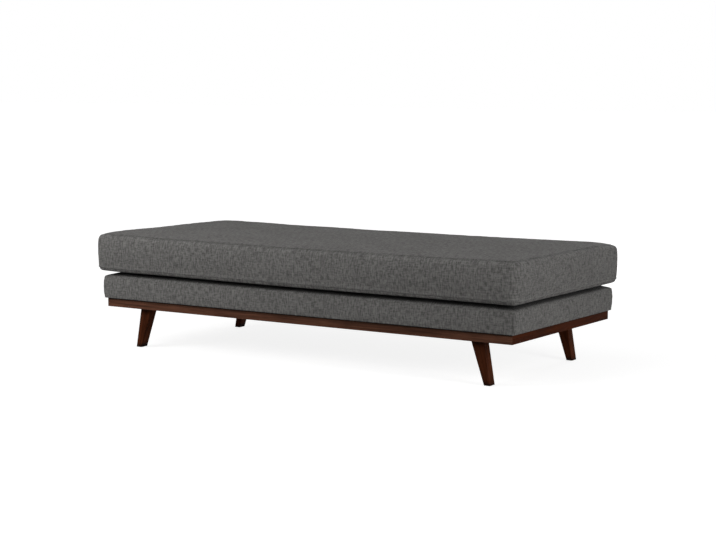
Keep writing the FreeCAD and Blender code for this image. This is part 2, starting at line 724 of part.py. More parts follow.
def cushion_space(inset):
    """The cushion's form, drawn in by a thickness on every side, with the placket pushed in."""
    form = rounded_box(
        CUSHION_X - inset,
        CUSHION_Y - inset,
        CUSHION_BASE + inset,
        CUSHION_TOP - inset,
        CUSHION_CORNER_ROUND - inset,
        CUSHION_TOP_ROUND - inset,
        CUSHION_BOTTOM_ROUND - inset,
    )
    half_length = ZIP_LENGTH / 2 + PLACKET_END_ROOM + inset
    half_height = PLACKET_HEIGHT / 2 + inset
    placket = block(
        (-half_length, half_length),
        (PLACKET_FACE - inset, CUSHION_Y + 1),
        (ZIP_Z - half_height, ZIP_Z + half_height),
    )
    return form.cut(placket)


def core_form():
    """The foam core's section, run through the whole length of the cushion."""
    half_y = CUSHION_Y - COVER_THICKNESS - WADDING_THICKNESS
    low = CUSHION_BASE + COVER_THICKNESS + WADDING_THICKNESS
    high = CUSHION_TOP - COVER_THICKNESS - WADDING_THICKNESS
    form = block((-CUSHION_X, CUSHION_X), (-half_y, half_y), (low, high))
    along = [e for e in form.Edges if not near(e.Vertexes[0].X, e.Vertexes[1].X)]
    return form.makeFillet(CORE_EDGE_ROUND, along)


def zip_band(reach_x, depth, reach_z):
    """A box centred on the line of the zip."""
    return block((-reach_x, reach_x), depth, (ZIP_Z - reach_z, ZIP_Z + reach_z))


def make_cushion():
    inside = cushion_space(COVER_THICKNESS)
    slot = zip_band(ZIP_LENGTH / 2, (TAPE_FACE, PLACKET_FACE), ZIP_SLOT_HEIGHT / 2)
    export("cushion_cover", cushion_space(0).cut(inside).cut(slot))

    core = core_form()
    tape_reach = ZIP_SLIT / 2 + TAPE_HEIGHT
    tunnel = zip_band(ZIP_LENGTH / 2 + FIT, (SLIDER_BACK - RUNNING, TAPE_FACE), tape_reach + FIT)
    export("cushion_wadding", inside.cut(core).cut(tunnel))
    export("cushion_core", inside.common(core))


# Zip

def zip_tape(side):
    """One half of the zip: a woven tape with its coil along the inner edge; side is 1 above."""
    inner = ZIP_Z + side * ZIP_SLIT / 2
    outer = ZIP_Z + side * (ZIP_SLIT / 2 + TAPE_HEIGHT)
    coil_edge = ZIP_Z + side * COIL_TOP
    half = ZIP_LENGTH / 2
    tape = block((-half, half), (TAPE_BACK, TAPE_FACE), sorted((inner, outer)))
    coil_reach = half - STOP_LENGTH
    coil = block((-coil_reach, coil_reach), (TAPE_FACE, COIL_FACE), sorted((inner, coil_edge)))
    crests = [
        e for e in edges_where(coil, lambda p: near(p.y, COIL_FACE))
        if not near(e.Vertexes[0].X, e.Vertexes[1].X)
    ]
    coil = coil.makeFillet(COIL_HEIGHT / 3, crests)
    return tape.fuse(coil).removeSplitter()


def zip_stop():
    """The metal stop across both coils at the right end of the zip."""
    end = ZIP_LENGTH / 2
    reach = COIL_TOP + STOP_OVERLAP
    return block((end - STOP_LENGTH, end), (TAPE_FACE, COIL_FACE), (ZIP_Z - reach, ZIP_Z + reach))


def zip_slider():
    """The slider at the closed end: two plates and a neck round the coils, with a bridge for the pull."""
    half = SLIDER_LENGTH / 2
    span = (SLIDER_X - half, SLIDER_X + half)
    full = (ZIP_Z - SLIDER_HALF_HEIGHT, ZIP_Z + SLIDER_HALF_HEIGHT)
    front = block(span, (SLIDER_FACE - SLIDER_PLATE, SLIDER_FACE), full)
    back = block(span, (SLIDER_BACK, SLIDER_BACK + SLIDER_PLATE), full)
    neck_half = ZIP_SLIT / 2 - RUNNING
    neck_span = (SLIDER_X + half - SLIDER_NECK_LENGTH, SLIDER_X + half)
    neck = block(neck_span, (SLIDER_BACK, SLIDER_FACE), (ZIP_Z - neck_half, ZIP_Z + neck_half))
    pieces = [back, neck]
    bridge_half = PULL_EYE_RADIUS
    bridge_span = (SLIDER_X - bridge_half, SLIDER_X + bridge_half)
    pin_reach = SLIDER_HALF_HEIGHT
    for side in (-1, 1):
        outer = ZIP_Z + side * SLIDER_HALF_HEIGHT
        inner = ZIP_Z + side * (SLIDER_HALF_HEIGHT - SLIDER_FLANGE)
        pieces.append(block(span, (TAPE_FACE + RUNNING, SLIDER_FACE), sorted((inner, outer))))
        ear_top = PULL_PIVOT_Y + PULL_PIN_RADIUS
        pieces.append(block(bridge_span, (SLIDER_FACE - SLIDER_PLATE, ear_top), sorted((inner, outer))))
    low = Vector(SLIDER_X, PULL_PIVOT_Y, ZIP_Z - pin_reach)
    high = Vector(SLIDER_X, PULL_PIVOT_Y, ZIP_Z + pin_reach)
    pieces.append(rod(low, high, PULL_PIN_RADIUS))
    return front.fuse(pieces).removeSplitter()


def zip_pull():
    """The pull, lying back along the closed zip, with an eye round the slider's pin."""
    eye_half = PULL_EYE_WIDTH / 2
    low = Vector(SLIDER_X, PULL_PIVOT_Y, ZIP_Z - eye_half)
    high = Vector(SLIDER_X, PULL_PIVOT_Y, ZIP_Z + eye_half)
    eye = rod(low, high, PULL_EYE_RADIUS)
    depth = (PULL_PIVOT_Y - PULL_THICKNESS / 2, PULL_PIVOT_Y + PULL_THICKNESS / 2)
    shank_end = SLIDER_X - SLIDER_LENGTH / 2 - RUNNING
    shank = block((shank_end, SLIDER_X), depth, (ZIP_Z - eye_half, ZIP_Z + eye_half))
    tab_span = (SLIDER_X - PULL_LENGTH, shank_end)
    tab = block(tab_span, depth, (ZIP_Z - PULL_WIDTH / 2, ZIP_Z + PULL_WIDTH / 2))
    corners = [
        e for e in tab.Edges
        if near(e.Vertexes[0].X, e.Vertexes[1].X) and near(e.Vertexes[0].Z, e.Vertexes[1].Z)
    ]
    tab = tab.makeFillet(PULL_WIDTH / 4, corners)
    pull = eye.fuse([shank, tab]).cut(rod(low, high, PULL_PIN_RADIUS + PULL_EYE_CLEARANCE))
    return pull.removeSplitter()


def make_zip():
    export("zip_tape_upper", zip_tape(1))
    export("zip_tape_lower", zip_tape(-1))
    stop = zip_stop()
    export("zip_stops", stop, stop.mirror(ORIGIN, X_AXIS))
    export("zip_slider", zip_slider())
    export("zip_pull", zip_pull())


os.makedirs("parts", exist_ok=True)
make_plinth()
make_legs()
make_seat_frame()
make_springs()
make_deck()
make_cushion()
make_zip()
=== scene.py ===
import json
import math

import bmesh
import bpy
import numpy as np
from mathutils import Euler, Matrix, Vector, noise
from mathutils.bvhtree import BVHTree


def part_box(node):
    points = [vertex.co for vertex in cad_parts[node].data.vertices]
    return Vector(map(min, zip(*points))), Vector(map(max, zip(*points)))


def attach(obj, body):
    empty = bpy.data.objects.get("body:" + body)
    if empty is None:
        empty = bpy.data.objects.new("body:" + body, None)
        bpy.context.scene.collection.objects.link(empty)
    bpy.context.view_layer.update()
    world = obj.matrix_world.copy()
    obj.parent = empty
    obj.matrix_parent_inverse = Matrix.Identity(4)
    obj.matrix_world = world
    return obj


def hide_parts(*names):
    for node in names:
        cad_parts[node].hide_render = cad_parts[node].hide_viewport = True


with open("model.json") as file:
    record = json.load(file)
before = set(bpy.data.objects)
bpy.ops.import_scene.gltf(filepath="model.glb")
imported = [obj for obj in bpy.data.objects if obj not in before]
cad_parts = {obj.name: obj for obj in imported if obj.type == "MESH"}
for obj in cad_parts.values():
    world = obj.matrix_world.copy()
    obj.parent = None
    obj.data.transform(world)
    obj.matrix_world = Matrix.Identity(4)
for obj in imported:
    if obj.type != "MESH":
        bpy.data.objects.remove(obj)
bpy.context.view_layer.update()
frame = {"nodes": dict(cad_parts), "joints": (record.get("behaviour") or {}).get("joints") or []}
nodes = frame["nodes"]


# Plinth rails
# Four lengths of solid wood with a walnut stain, mitred at the corners. They are the show-wood
# band under the seat box, with a satin lacquer that has rubbed a little paler along the edges.

def feed(tree, socket, value):
    """Gives a socket a plain value, or the output of another node."""
    if isinstance(value, bpy.types.NodeSocket):
        tree.links.new(value, socket)
    else:
        socket.default_value = value


def put(tree, kind, sockets=None, **settings):
    """Adds one shader node."""
    node = tree.nodes.new("ShaderNode" + kind)
    for name, value in settings.items():
        setattr(node, name, value)
    for key, value in (sockets or {}).items():
        feed(tree, node.inputs[key], value)
    return node


def sums(tree, operation, *values):
    return put(tree, "Math", dict(enumerate(values)), operation=operation).outputs[0]


def vectors(tree, operation, *values, out=0):
    return put(tree, "VectorMath", dict(enumerate(values)), operation=operation).outputs[out]


def graded(tree, value, low, high, start=0.0, end=1.0):
    """A value eased from start to end as it goes from low to high."""
    sockets = {0: value, 1: low, 2: high, 3: start, 4: end}
    return put(tree, "MapRange", sockets, interpolation_type="SMOOTHSTEP").outputs[0]


def mixed(tree, share, first, second, way="MIX"):
    """Two colours mixed."""
    node = put(tree, "Mix", {0: share, 6: first, 7: second}, data_type="RGBA", blend_type=way)
    return node.outputs[2]


def dimmed(tree, colour, level):
    """A colour times a grey level."""
    grey = put(tree, "CombineColor", {0: level, 1: level, 2: level}).outputs[0]
    return mixed(tree, 1.0, colour, grey, "MULTIPLY")


def speckle(tree, place, scale, detail=2.0, rough=0.5, twist=0.0):
    sockets = {"Vector": place, "Scale": scale, "Detail": detail, "Roughness": rough, "Distortion": twist}
    return put(tree, "TexNoise", sockets).outputs[0]


def effect(name, inputs, outputs):
    """An empty shader node group, with its input and output nodes."""
    tree = bpy.data.node_groups.new(name, "ShaderNodeTree")
    for label, kind in inputs:
        tree.interface.new_socket(label, in_out="INPUT", socket_type="NodeSocket" + kind)
    for label, kind in outputs:
        tree.interface.new_socket(label, in_out="OUTPUT", socket_type="NodeSocket" + kind)
    return tree, tree.nodes.new("NodeGroupInput").outputs, tree.nodes.new("NodeGroupOutput").inputs


def placed(tree, group, **sockets):
    """One use of an effect in a material."""
    node = put(tree, "Group", node_tree=group)
    for name, value in sockets.items():
        feed(tree, node.inputs[name], value)
    return node.outputs


def surface(name, **plain):
    """A new material: its node tree, its shader, and the place of each point on the object."""
    made = bpy.data.materials.new(name)
    made.use_nodes = True
    tree = made.node_tree
    shader = tree.nodes["Principled BSDF"]
    for label, value in plain.items():
        shader.inputs[label.replace("_", " ")].default_value = value
    return made, tree, shader.inputs, put(tree, "TexCoord").outputs["Object"]


def relief(tree, height, depth, strength):
    """A bump of the given depth in metres."""
    return put(tree, "Bump", {"Strength": strength, "Distance": depth, "Height": height}).outputs[0]


def coat(names, material):
    """Gives CAD pieces a finish."""
    for name in names:
        nodes[name].data.materials.clear()
        nodes[name].data.materials.append(material)


grain, given, result = effect(
    "wood_grain",
    [("Place", "Vector"), ("Along", "Vector"), ("Dark", "Color"), ("Light", "Color"), ("Seed", "Float")],
    [("Colour", "Color"), ("Roughness", "Float"), ("Height", "Float")],
)
reach = vectors(grain, "DOT_PRODUCT", given["Place"], given["Along"], out=1)
shift = put(grain, "CombineXYZ", {0: given["Seed"], 1: given["Seed"], 2: given["Seed"]}).outputs[0]
start = vectors(grain, "ADD", given["Place"], shift)
figure_draw, streak_draw = 0.94, 0.985
drawn_out = []
for draw in (figure_draw, streak_draw):
    pulled = vectors(grain, "SCALE", given["Along"])
    feed(grain, pulled.node.inputs["Scale"], sums(grain, "MULTIPLY", reach, -draw))
    drawn_out.append(vectors(grain, "ADD", start, pulled))
long_way, longer_way = drawn_out
figure = graded(grain, speckle(grain, long_way, 55.0, 5.0, 0.6, 0.8), 0.32, 0.68)
streak = graded(grain, speckle(grain, longer_way, 260.0, 3.0, 0.6), 0.35, 0.65)
pore = graded(grain, speckle(grain, longer_way, 1100.0, 2.0, 0.5), 0.60, 0.70)
patch = graded(grain, speckle(grain, start, 7.0, 2.0), 0.3, 0.7, 0.86, 1.12)
share = sums(grain, "ADD", sums(grain, "MULTIPLY", figure, 0.6), sums(grain, "MULTIPLY", streak, 0.4))
wood = dimmed(grain, mixed(grain, share, given["Dark"], given["Light"]), patch)
pore_brown = (0.01, 0.005, 0.003, 1)
feed(grain, result["Colour"], mixed(grain, sums(grain, "MULTIPLY", pore, 0.45), wood, pore_brown))
rough = sums(grain, "ADD", sums(grain, "MULTIPLY", streak, 0.10), sums(grain, "MULTIPLY", pore, 0.15))
feed(grain, result["Roughness"], rough)
feed(grain, result["Height"], sums(grain, "SUBTRACT", sums(grain, "MULTIPLY", streak, 0.3), pore))

edge_wear, given, result = effect(
    "edge_wear", [("Radius", "Float"), ("Place", "Vector")], [("Mask", "Float")]
)
eased = put(edge_wear, "Bevel", {"Radius": given["Radius"]}, samples=4).outputs[0]
turn = vectors(edge_wear, "DOT_PRODUCT", eased, put(edge_wear, "NewGeometry").outputs["Normal"], out=1)
edge = graded(edge_wear, turn, 0.995, 0.93)
broken = graded(edge_wear, speckle(edge_wear, given["Place"], 90.0, 4.0), 0.42, 0.62)
feed(edge_wear, result["Mask"], sums(edge_wear, "MULTIPLY", edge, broken))


def walnut(name, along, dark, light, seed, shade_range=(0.80, 0.60), gloss=0.01):
    """Show-wood with a walnut stain under a thin satin lacquer, with its grain along a direction. Nooks are
    painted darker as shade: shade_range says how open a place is where that begins, and where it is darkest."""
    rubbed_wood, painted_shade_brown = (0.16, 0.075, 0.04, 1), (0.004, 0.0025, 0.002, 1)
    made, tree, shader, place = surface(name, Specular_IOR_Level=gloss)
    wood = placed(tree, grain, Place=place, Along=along, Dark=dark, Light=light, Seed=seed)
    worn = placed(tree, edge_wear, Radius=0.0022, Place=place)["Mask"]
    paler = mixed(tree, sums(tree, "MULTIPLY", worn, 0.25), wood["Colour"], rubbed_wood)
    # Painted shade: where little is open round a point, as on the rails under the overhanging cloth and on
    # the legs under the plinth, the colour is darkened to a near-black brown.
    nook = put(tree, "AmbientOcclusion", {"Distance": 0.026}, samples=6).outputs["AO"]
    painted_shade = graded(tree, nook, *shade_range)
    feed(tree, shader["Base Color"], mixed(tree, painted_shade, paler, painted_shade_brown))
    feed(tree, shader["Roughness"], sums(tree, "ADD", wood["Roughness"], 0.48))
    feed(tree, shader["Normal"], relief(tree, wood["Height"], 0.0002, 0.6))
    return made


long_dark, long_light = (0.041, 0.0170, 0.0100, 1), (0.128, 0.054, 0.032, 1)
finish = walnut("walnut_long_rails", (1, 0, 0), long_dark, long_light, 0.0, gloss=0.03)
coat(["plinth_front_rail", "plinth_back_rail"], finish)
# The end rails are the same walnut as the long rails, given a darker, redder tone as painted shade of the end
# faces.
end_dark, end_light = (0.018, 0.0042, 0.0014, 1), (0.058, 0.0140, 0.0048, 1)
finish = walnut("walnut_end_rails", (0, 1, 0), end_dark, end_light, 3.7, shade_range=(0.45, 0.10))
coat(["plinth_left_rail", "plinth_right_rail"], finish)


# Legs
# Four flat tapered blanks of the same wood with a walnut stain, sawn with the grain down the leg, in a
# darker tone that is partly painted shade. Each leans out along the length and is screwed up to its steel
# plate.

# The legs' tone is the stain's own dark brown, set darker still as painted shade of the legs under the seat
# box.
leg_dark, leg_light = (0.022, 0.0060, 0.0023, 1), (0.078, 0.0215, 0.0088, 1)
for side, lean, seed in (("left", -0.24, 11.3), ("right", 0.24, 17.9)):
    down_leg = Vector((lean, 0, -0.97)).normalized()
    finish = walnut(f"walnut_legs_{side}", down_leg, leg_dark, leg_light, seed, shade_range=(0.92, 0.62))
    coat([f"leg_front_{side}", f"leg_back_{side}"], finish)


# Plinth blocks, bearers and dowels
# Plain softwood, out of sight behind the rails: corner blocks, two leg bearers and a centre bearer,
# glued and dowelled. It is planed, unstained and a little dusty.

def raw_wood(name, along, dark, light, seed):
    made, tree, shader, place = surface(name, Specular_IOR_Level=0.25)
    wood = placed(tree, grain, Place=place, Along=along, Dark=dark, Light=light, Seed=seed)
    dust = graded(tree, speckle(tree, place, 30.0, 4.0), 0.45, 0.75, 0.0, 0.35)
    feed(tree, shader["Base Color"], mixed(tree, dust, wood["Colour"], (0.42, 0.36, 0.28, 1)))
    feed(tree, shader["Roughness"], sums(tree, "ADD", wood["Roughness"], 0.62))
    feed(tree, shader["Normal"], relief(tree, wood["Height"], 0.0003, 0.7))
    return made


soft_dark, soft_light = (0.30, 0.19, 0.10, 1), (0.56, 0.41, 0.25, 1)
across_grain = raw_wood("bearer_wood", (0, 1, 0), soft_dark, soft_light, 1.9)
corners = ["front_left", "front_right", "back_left", "back_right"]
coat(["leg_bearer_left", "leg_bearer_right", "centre_bearer", "plinth_dowels"], across_grain)
coat([f"plinth_block_{c}" for c in corners], raw_wood("block_wood", (0, 0, 1), soft_dark, soft_light, 5.1))


# Steel and its fixings
# Zinc-plated screws, bolts, staples and clips, and the black leg plates. Plating has dull blotches
# and fine scratches.

metal_skin, given, result = effect(
    "metal_skin",
    [("Place", "Vector"), ("Dull", "Color"), ("Bright", "Color")],
    [("Colour", "Color"), ("Roughness", "Float"), ("Height", "Float")],
)
blotch = graded(metal_skin, speckle(metal_skin, given["Place"], 160.0, 4.0, 0.6), 0.35, 0.68)
stretched = vectors(metal_skin, "MULTIPLY", given["Place"], (90.0, 1400.0, 1400.0))
scratch = graded(metal_skin, speckle(metal_skin, stretched, 1.0, 2.0), 0.62, 0.74)
feed(metal_skin, result["Colour"], mixed(metal_skin, blotch, given["Dull"], given["Bright"]))
polished, cut = sums(metal_skin, "MULTIPLY", blotch, 0.18), sums(metal_skin, "MULTIPLY", scratch, 0.6)
feed(metal_skin, result["Roughness"], sums(metal_skin, "SUBTRACT", 0.42, polished))
feed(metal_skin, result["Height"], sums(metal_skin, "SUBTRACT", blotch, cut))


def steel(name, dull, bright):
    made, tree, shader, place = surface(name, Metallic=1.0)
    skin = placed(tree, metal_skin, Place=place, Dull=dull, Bright=bright)
    feed(tree, shader["Base Color"], skin["Colour"])
    feed(tree, shader["Roughness"], skin["Roughness"])
    feed(tree, shader["Normal"], relief(tree, skin["Height"], 0.00004, 0.5))
    return made


zinc = steel("zinc_plate", (0.42, 0.42, 0.40, 1), (0.66, 0.66, 0.63, 1))
coat(["leg_bolts", "leg_plate_screws", "frame_screws", "fixing_screws", "dust_cover_staples"], zinc)
coat(["leg_plates"], steel("black_plate", (0.045, 0.045, 0.047, 1), (0.09, 0.09, 0.092, 1)))
coat([f"glide_{c}" for c in corners], steel("nickel_glide", (0.50, 0.48, 0.45, 1), (0.74, 0.72, 0.68, 1)))


# Seat frame and springs
# Softwood rails, braces and stretchers screwed together. Thirteen zigzag springs of oil-black wire
# lie across it in nailed clips, with two tie wires.

coat(
    ["seat_front_rail", "seat_back_rail"],
    raw_wood("long_rail_wood", (1, 0, 0), soft_dark, soft_light, 7.7),
)
coat(
    ["seat_left_rail", "seat_right_rail"] + [f"seat_stretcher_{p}" for p in ("left", "centre", "right")],
    raw_wood("cross_rail_wood", (0, 1, 0), soft_dark, soft_light, 9.2),
)
coat([f"seat_brace_{c}" for c in corners], raw_wood("brace_wood", (0, 0, 1), soft_dark, soft_light, 4.4))
coat(["seat_springs", "spring_ties"], steel("spring_wire", (0.05, 0.05, 0.055, 1), (0.14, 0.14, 0.15, 1)))
coat(["spring_clips", "clip_nails"], zinc)


# Padding of the seat box
# A grey needled felt over the springs, and strips of cream foam down the outside of the four rails, level
# with the felt. The foam slab of the seat lies on both. All of it is out of sight under the cloth.

fibres, given, result = effect(
    "matted_fibres",
    [("Place", "Vector"), ("Dark", "Color"), ("Light", "Color"), ("Fineness", "Float")],
    [("Colour", "Color"), ("Height", "Float")],
)
hairs = []
for way in ((1.0, 0.12, 1.0), (0.12, 1.0, 1.0)):
    combed = vectors(fibres, "MULTIPLY", given["Place"], way)
    hair = put(fibres, "TexNoise", {"Vector": combed, "Scale": given["Fineness"], "Detail": 3.0})
    hairs.append(hair.outputs[0])
tangle = graded(fibres, sums(fibres, "MAXIMUM", *hairs), 0.42, 0.72)
feed(fibres, result["Colour"], mixed(fibres, tangle, given["Dark"], given["Light"]))
feed(fibres, result["Height"], tangle)


def matted(name, dark, light, fineness, depth):
    made, tree, shader, place = surface(name, Roughness=0.95, Specular_IOR_Level=0.1, Sheen_Weight=0.1)
    mat = placed(tree, fibres, Place=place, Dark=dark, Light=light, Fineness=fineness)
    feed(tree, shader["Base Color"], mat["Colour"])
    feed(tree, shader["Normal"], relief(tree, mat["Height"], depth, 0.8))
    return made


def foamed(name, dark, light):
    made, tree, shader, place = surface(name, Roughness=0.9, Specular_IOR_Level=0.15)
    cells = put(tree, "TexVoronoi", {"Vector": place, "Scale": 420.0}).outputs["Distance"]
    cloud = graded(tree, speckle(tree, place, 12.0, 3.0), 0.3, 0.7)
    feed(tree, shader["Base Color"], mixed(tree, cloud, dark, light))
    feed(tree, shader["Normal"], relief(tree, cells, 0.0012, 0.6))
    return made


cream_foam = foamed("cream_foam", (0.62, 0.53, 0.33, 1), (0.76, 0.69, 0.48, 1))
coat(["spring_pad"], matted("needled_felt", (0.10, 0.10, 0.11, 1), (0.26, 0.26, 0.27, 1), 500.0, 0.0008))
coat([f"edge_pad_{side}" for side in ("front", "back", "left", "right")], cream_foam)


# Cover of the seat box
# Charcoal melange cloth pulled tight over the foam, sewn down each upright corner, turned in under the
# rails and stapled there. It is a padded box, so its faces belly a little between the held edges.

def side_lines(half, turned, pitch, extra=()):
    """Mesh lines from one side of a soft box to the other, closer together where its edge turns over."""
    flat = half - turned
    edge = flat + turned * np.sin(np.linspace(0, np.pi / 2, 6))
    middle = np.linspace(-flat, flat, max(2, round(2 * flat / pitch)) + 1)
    return np.unique(np.concatenate([-edge, middle, edge, extra]).round(5))


def row_levels(low, high, pitch, extra=()):
    """Levels of the mesh rows down the side of a soft box, with the asked ones among them."""
    marks = sorted({low, high, *extra})
    rows = [low]
    for a, b in zip(marks, marks[1:]):
        rows += list(np.linspace(a, b, math.ceil((b - a) / pitch - 1e-6) + 1)[1:])
    return rows[::-1]


def soft_box(name, size, turns, pitch, rows, extra_x=(), extra_y=(), hem=None):
    """The skin of a soft box, all quads. Each point keeps how far down the skin it lies."""
    half_x, half_y, low, high = size
    corner, top_turn, bottom_turn = turns
    lines_x = side_lines(half_x, top_turn, pitch, extra_x)
    lines_y = side_lines(half_y, top_turn, pitch, extra_y)
    gx, gy = np.meshgrid(lines_x, lines_y, indexing="ij")
    inset = np.minimum(half_x - abs(gx), half_y - abs(gy))
    cx, cy = np.clip(gx, corner - half_x, half_x - corner), np.clip(gy, corner - half_y, half_y - corner)
    dx, dy = gx - cx, gy - cy
    swing = np.maximum(abs(dx), abs(dy)) / np.maximum(np.hypot(dx, dy), 1e-9)
    px, py = cx + dx * swing, cy + dy * swing

    def cap(turned):
        """How far the top or bottom falls back over its turn, and the way along it from the turn's end."""
        depth = np.clip(turned - inset, 0, turned)
        drop = turned - np.sqrt(np.maximum(turned ** 2 - depth ** 2, 0))
        way = turned * (np.pi / 2 - np.arcsin(np.clip(depth / turned, 0, 1)))
        way = way + np.clip(inset - turned, 0, None)
        return drop.ravel(), way.ravel()

    nx, ny = gx.shape
    index = np.arange(nx * ny).reshape(nx, ny)
    border = np.concatenate([index[:, 0], index[-1, 1:], index[-2::-1, -1], index[0, -2:0:-1]])
    plan = np.stack([px.ravel(), py.ravel()], 1)
    drop, way = cap(top_turn)
    points = [np.column_stack([plan, high - drop])]
    down = [-way]
    rings = [border]
    for z in rows[1:-1]:
        rings.append(sum(map(len, points)) + np.arange(len(border)))
        points.append(np.column_stack([plan[border], np.full(len(border), z)]))
        down.append(np.full(len(border), rows[0] - z))
    under = sum(map(len, points))
    rings.append(border + under)
    drop, way = cap(bottom_turn)
    points.append(np.column_stack([plan, low + drop]))
    down.append(rows[0] - rows[-1] + way)
    quads = np.stack([index[:-1, :-1], index[1:, :-1], index[1:, 1:], index[:-1, 1:]], -1).reshape(-1, 4)
    sides = [
        np.stack([upper, lower, np.roll(lower, -1), np.roll(upper, -1)], -1)
        for upper, lower in zip(rings, rings[1:])
    ]
    base = quads[:, ::-1] + under
    points, down = np.concatenate(points), np.concatenate(down)
    if hem is not None:
        base = base[(inset.ravel()[base - under] < hem + 1e-5).all(1)]
    faces = np.concatenate([quads, *sides, base])
    kept, faces = np.unique(faces, return_inverse=True)
    mesh = bpy.data.meshes.new(name)
    mesh.from_pydata(points[kept].tolist(), [], faces.reshape(-1, 4).tolist())
    mesh.attributes.new("down", "FLOAT", "POINT").data.foreach_set("value", down[kept].astype(np.float32))
    return mesh


def points_of(mesh):
    co = np.zeros(len(mesh.vertices) * 3, np.float32)
    mesh.vertices.foreach_get("co", co)
    return co.reshape(-1, 3).astype(float)


def normals_of(mesh):
    found = np.zeros(len(mesh.vertices) * 3, np.float32)
    mesh.vertices.foreach_get("normal", found)
    return found.reshape(-1, 3).astype(float)


def down_of(mesh):
    value = np.zeros(len(mesh.vertices), np.float32)
    mesh.attributes["down"].data.foreach_get("value", value)
    return value.astype(float)


def move_points(mesh, co):
    mesh.vertices.foreach_set("co", co.astype(np.float32).ravel())
    mesh.update()


def link(name, data):
    """Puts a mesh, lamp or camera in the scene."""
    made = bpy.data.objects.new(name, data)
    bpy.context.scene.collection.objects.link(made)
    return made


def swell(mesh, held, pressure):
    """Lets the filling press on the cloth from inside, with some points held. Gives each point's move."""
    skin = link("skin", mesh.copy())
    grip = skin.vertex_groups.new(name="held")
    for weight in np.unique(held[held > 0]):
        grip.add(np.flatnonzero(held == weight).tolist(), float(weight), "REPLACE")
    cloth = skin.modifiers.new("Cloth", "CLOTH")
    cloth.settings.quality = 5
    cloth.settings.mass = 0.3
    cloth.settings.air_damping = 4.0
    cloth.settings.tension_stiffness = 25.0
    cloth.settings.compression_stiffness = 25.0
    cloth.settings.shear_stiffness = 8.0
    cloth.settings.bending_stiffness = 2.0
    cloth.settings.use_pressure = True
    cloth.settings.uniform_pressure_force = pressure
    cloth.settings.effector_weights.gravity = 0.0
    cloth.settings.vertex_group_mass = "held"
    cloth.collision_settings.use_collision = False
    cloth.collision_settings.use_self_collision = False
    settled_after = 20
    for moment in range(1, settled_after + 1):
        bpy.context.scene.frame_set(moment)
    after = skin.evaluated_get(bpy.context.evaluated_depsgraph_get()).data
    moved = points_of(after) - points_of(mesh)
    spare = skin.data
    bpy.data.objects.remove(skin)
    bpy.data.meshes.remove(spare)
    bpy.context.scene.frame_set(1)
    return moved


def divided(mesh):
    """The mesh with each quad split in four and smoothed."""
    rough = link("rough", mesh)
    rough.modifiers.new("Subdivision", "SUBSURF").levels = 1
    seen = bpy.context.evaluated_depsgraph_get()
    fine = bpy.data.meshes.new_from_object(
        rough.evaluated_get(seen), preserve_all_data_layers=True, depsgraph=seen
    )
    bpy.data.objects.remove(rough)
    fine.shade_smooth()
    return fine


def ripple(co, scale, seed):
    """Smooth noise at each point, from -1 to 1."""
    stretched = co * np.array(scale) + seed
    return np.array([noise.noise(p) for p in stretched.tolist()])


def fading(away, reach):
    """One on a line or at a point, and less the further away, almost nothing at twice the reach."""
    return np.exp(-((away / reach) ** 2))


def groove(way, place, depth, width):
    """A rounded hollow across a line on the skin."""
    return -depth * fading(way - place, width)


def round_way(co, size, corner):
    """How far round a soft box each point lies, from its front left corner, and the whole way round."""
    a, b = size[0] - corner, size[1] - corner
    cx, cy = np.clip(co[:, 0], -a, a), np.clip(co[:, 1], -b, b)
    angle = np.arctan2(co[:, 0] - cx, cy - co[:, 1]) % (2 * np.pi)
    straight = np.choose(
        np.clip((angle / (np.pi / 2) + 1e-9).astype(int), 0, 3),
        [cx + a, 2 * a + cy + b, 3 * a + 2 * b - cx, 4 * a + 3 * b - cy],
    )
    return straight + corner * angle, 4 * (a + b) + 2 * np.pi * corner


def mark_seams(mesh, nearness):
    """Keeps how near each point is to a seam, where the cloth is drawn in and catches less light."""
    mesh.attributes.new("seam", "FLOAT", "POINT").data.foreach_set("value", nearness.astype(np.float32))


def lay_cloth(mesh, size, corner, seams):
    """Lays the weave on the panels, in metres: the top and bottom flat, the border strip round the side."""
    co, down = points_of(mesh), down_of(mesh)
    corners_of = np.zeros(len(mesh.loops), np.int32)
    mesh.loops.foreach_get("vertex_index", corners_of)
    depth = down[corners_of].reshape(-1, 4).mean(1)
    border = np.repeat((depth > seams[0]) & (depth < seams[1]), 4)
    way, whole = round_way(co, size, corner)
    turn = way[corners_of].reshape(-1, 4)
    turn = np.where(turn.max(1, keepdims=True) - turn > whole / 2, turn + whole, turn).ravel()
    at = np.where(border[:, None], np.stack([turn, -down[corners_of]], 1), co[corners_of][:, :2])
    layer = mesh.uv_layers.new(name="cloth")
    layer.data.foreach_set("uv", at.astype(np.float32).ravel())


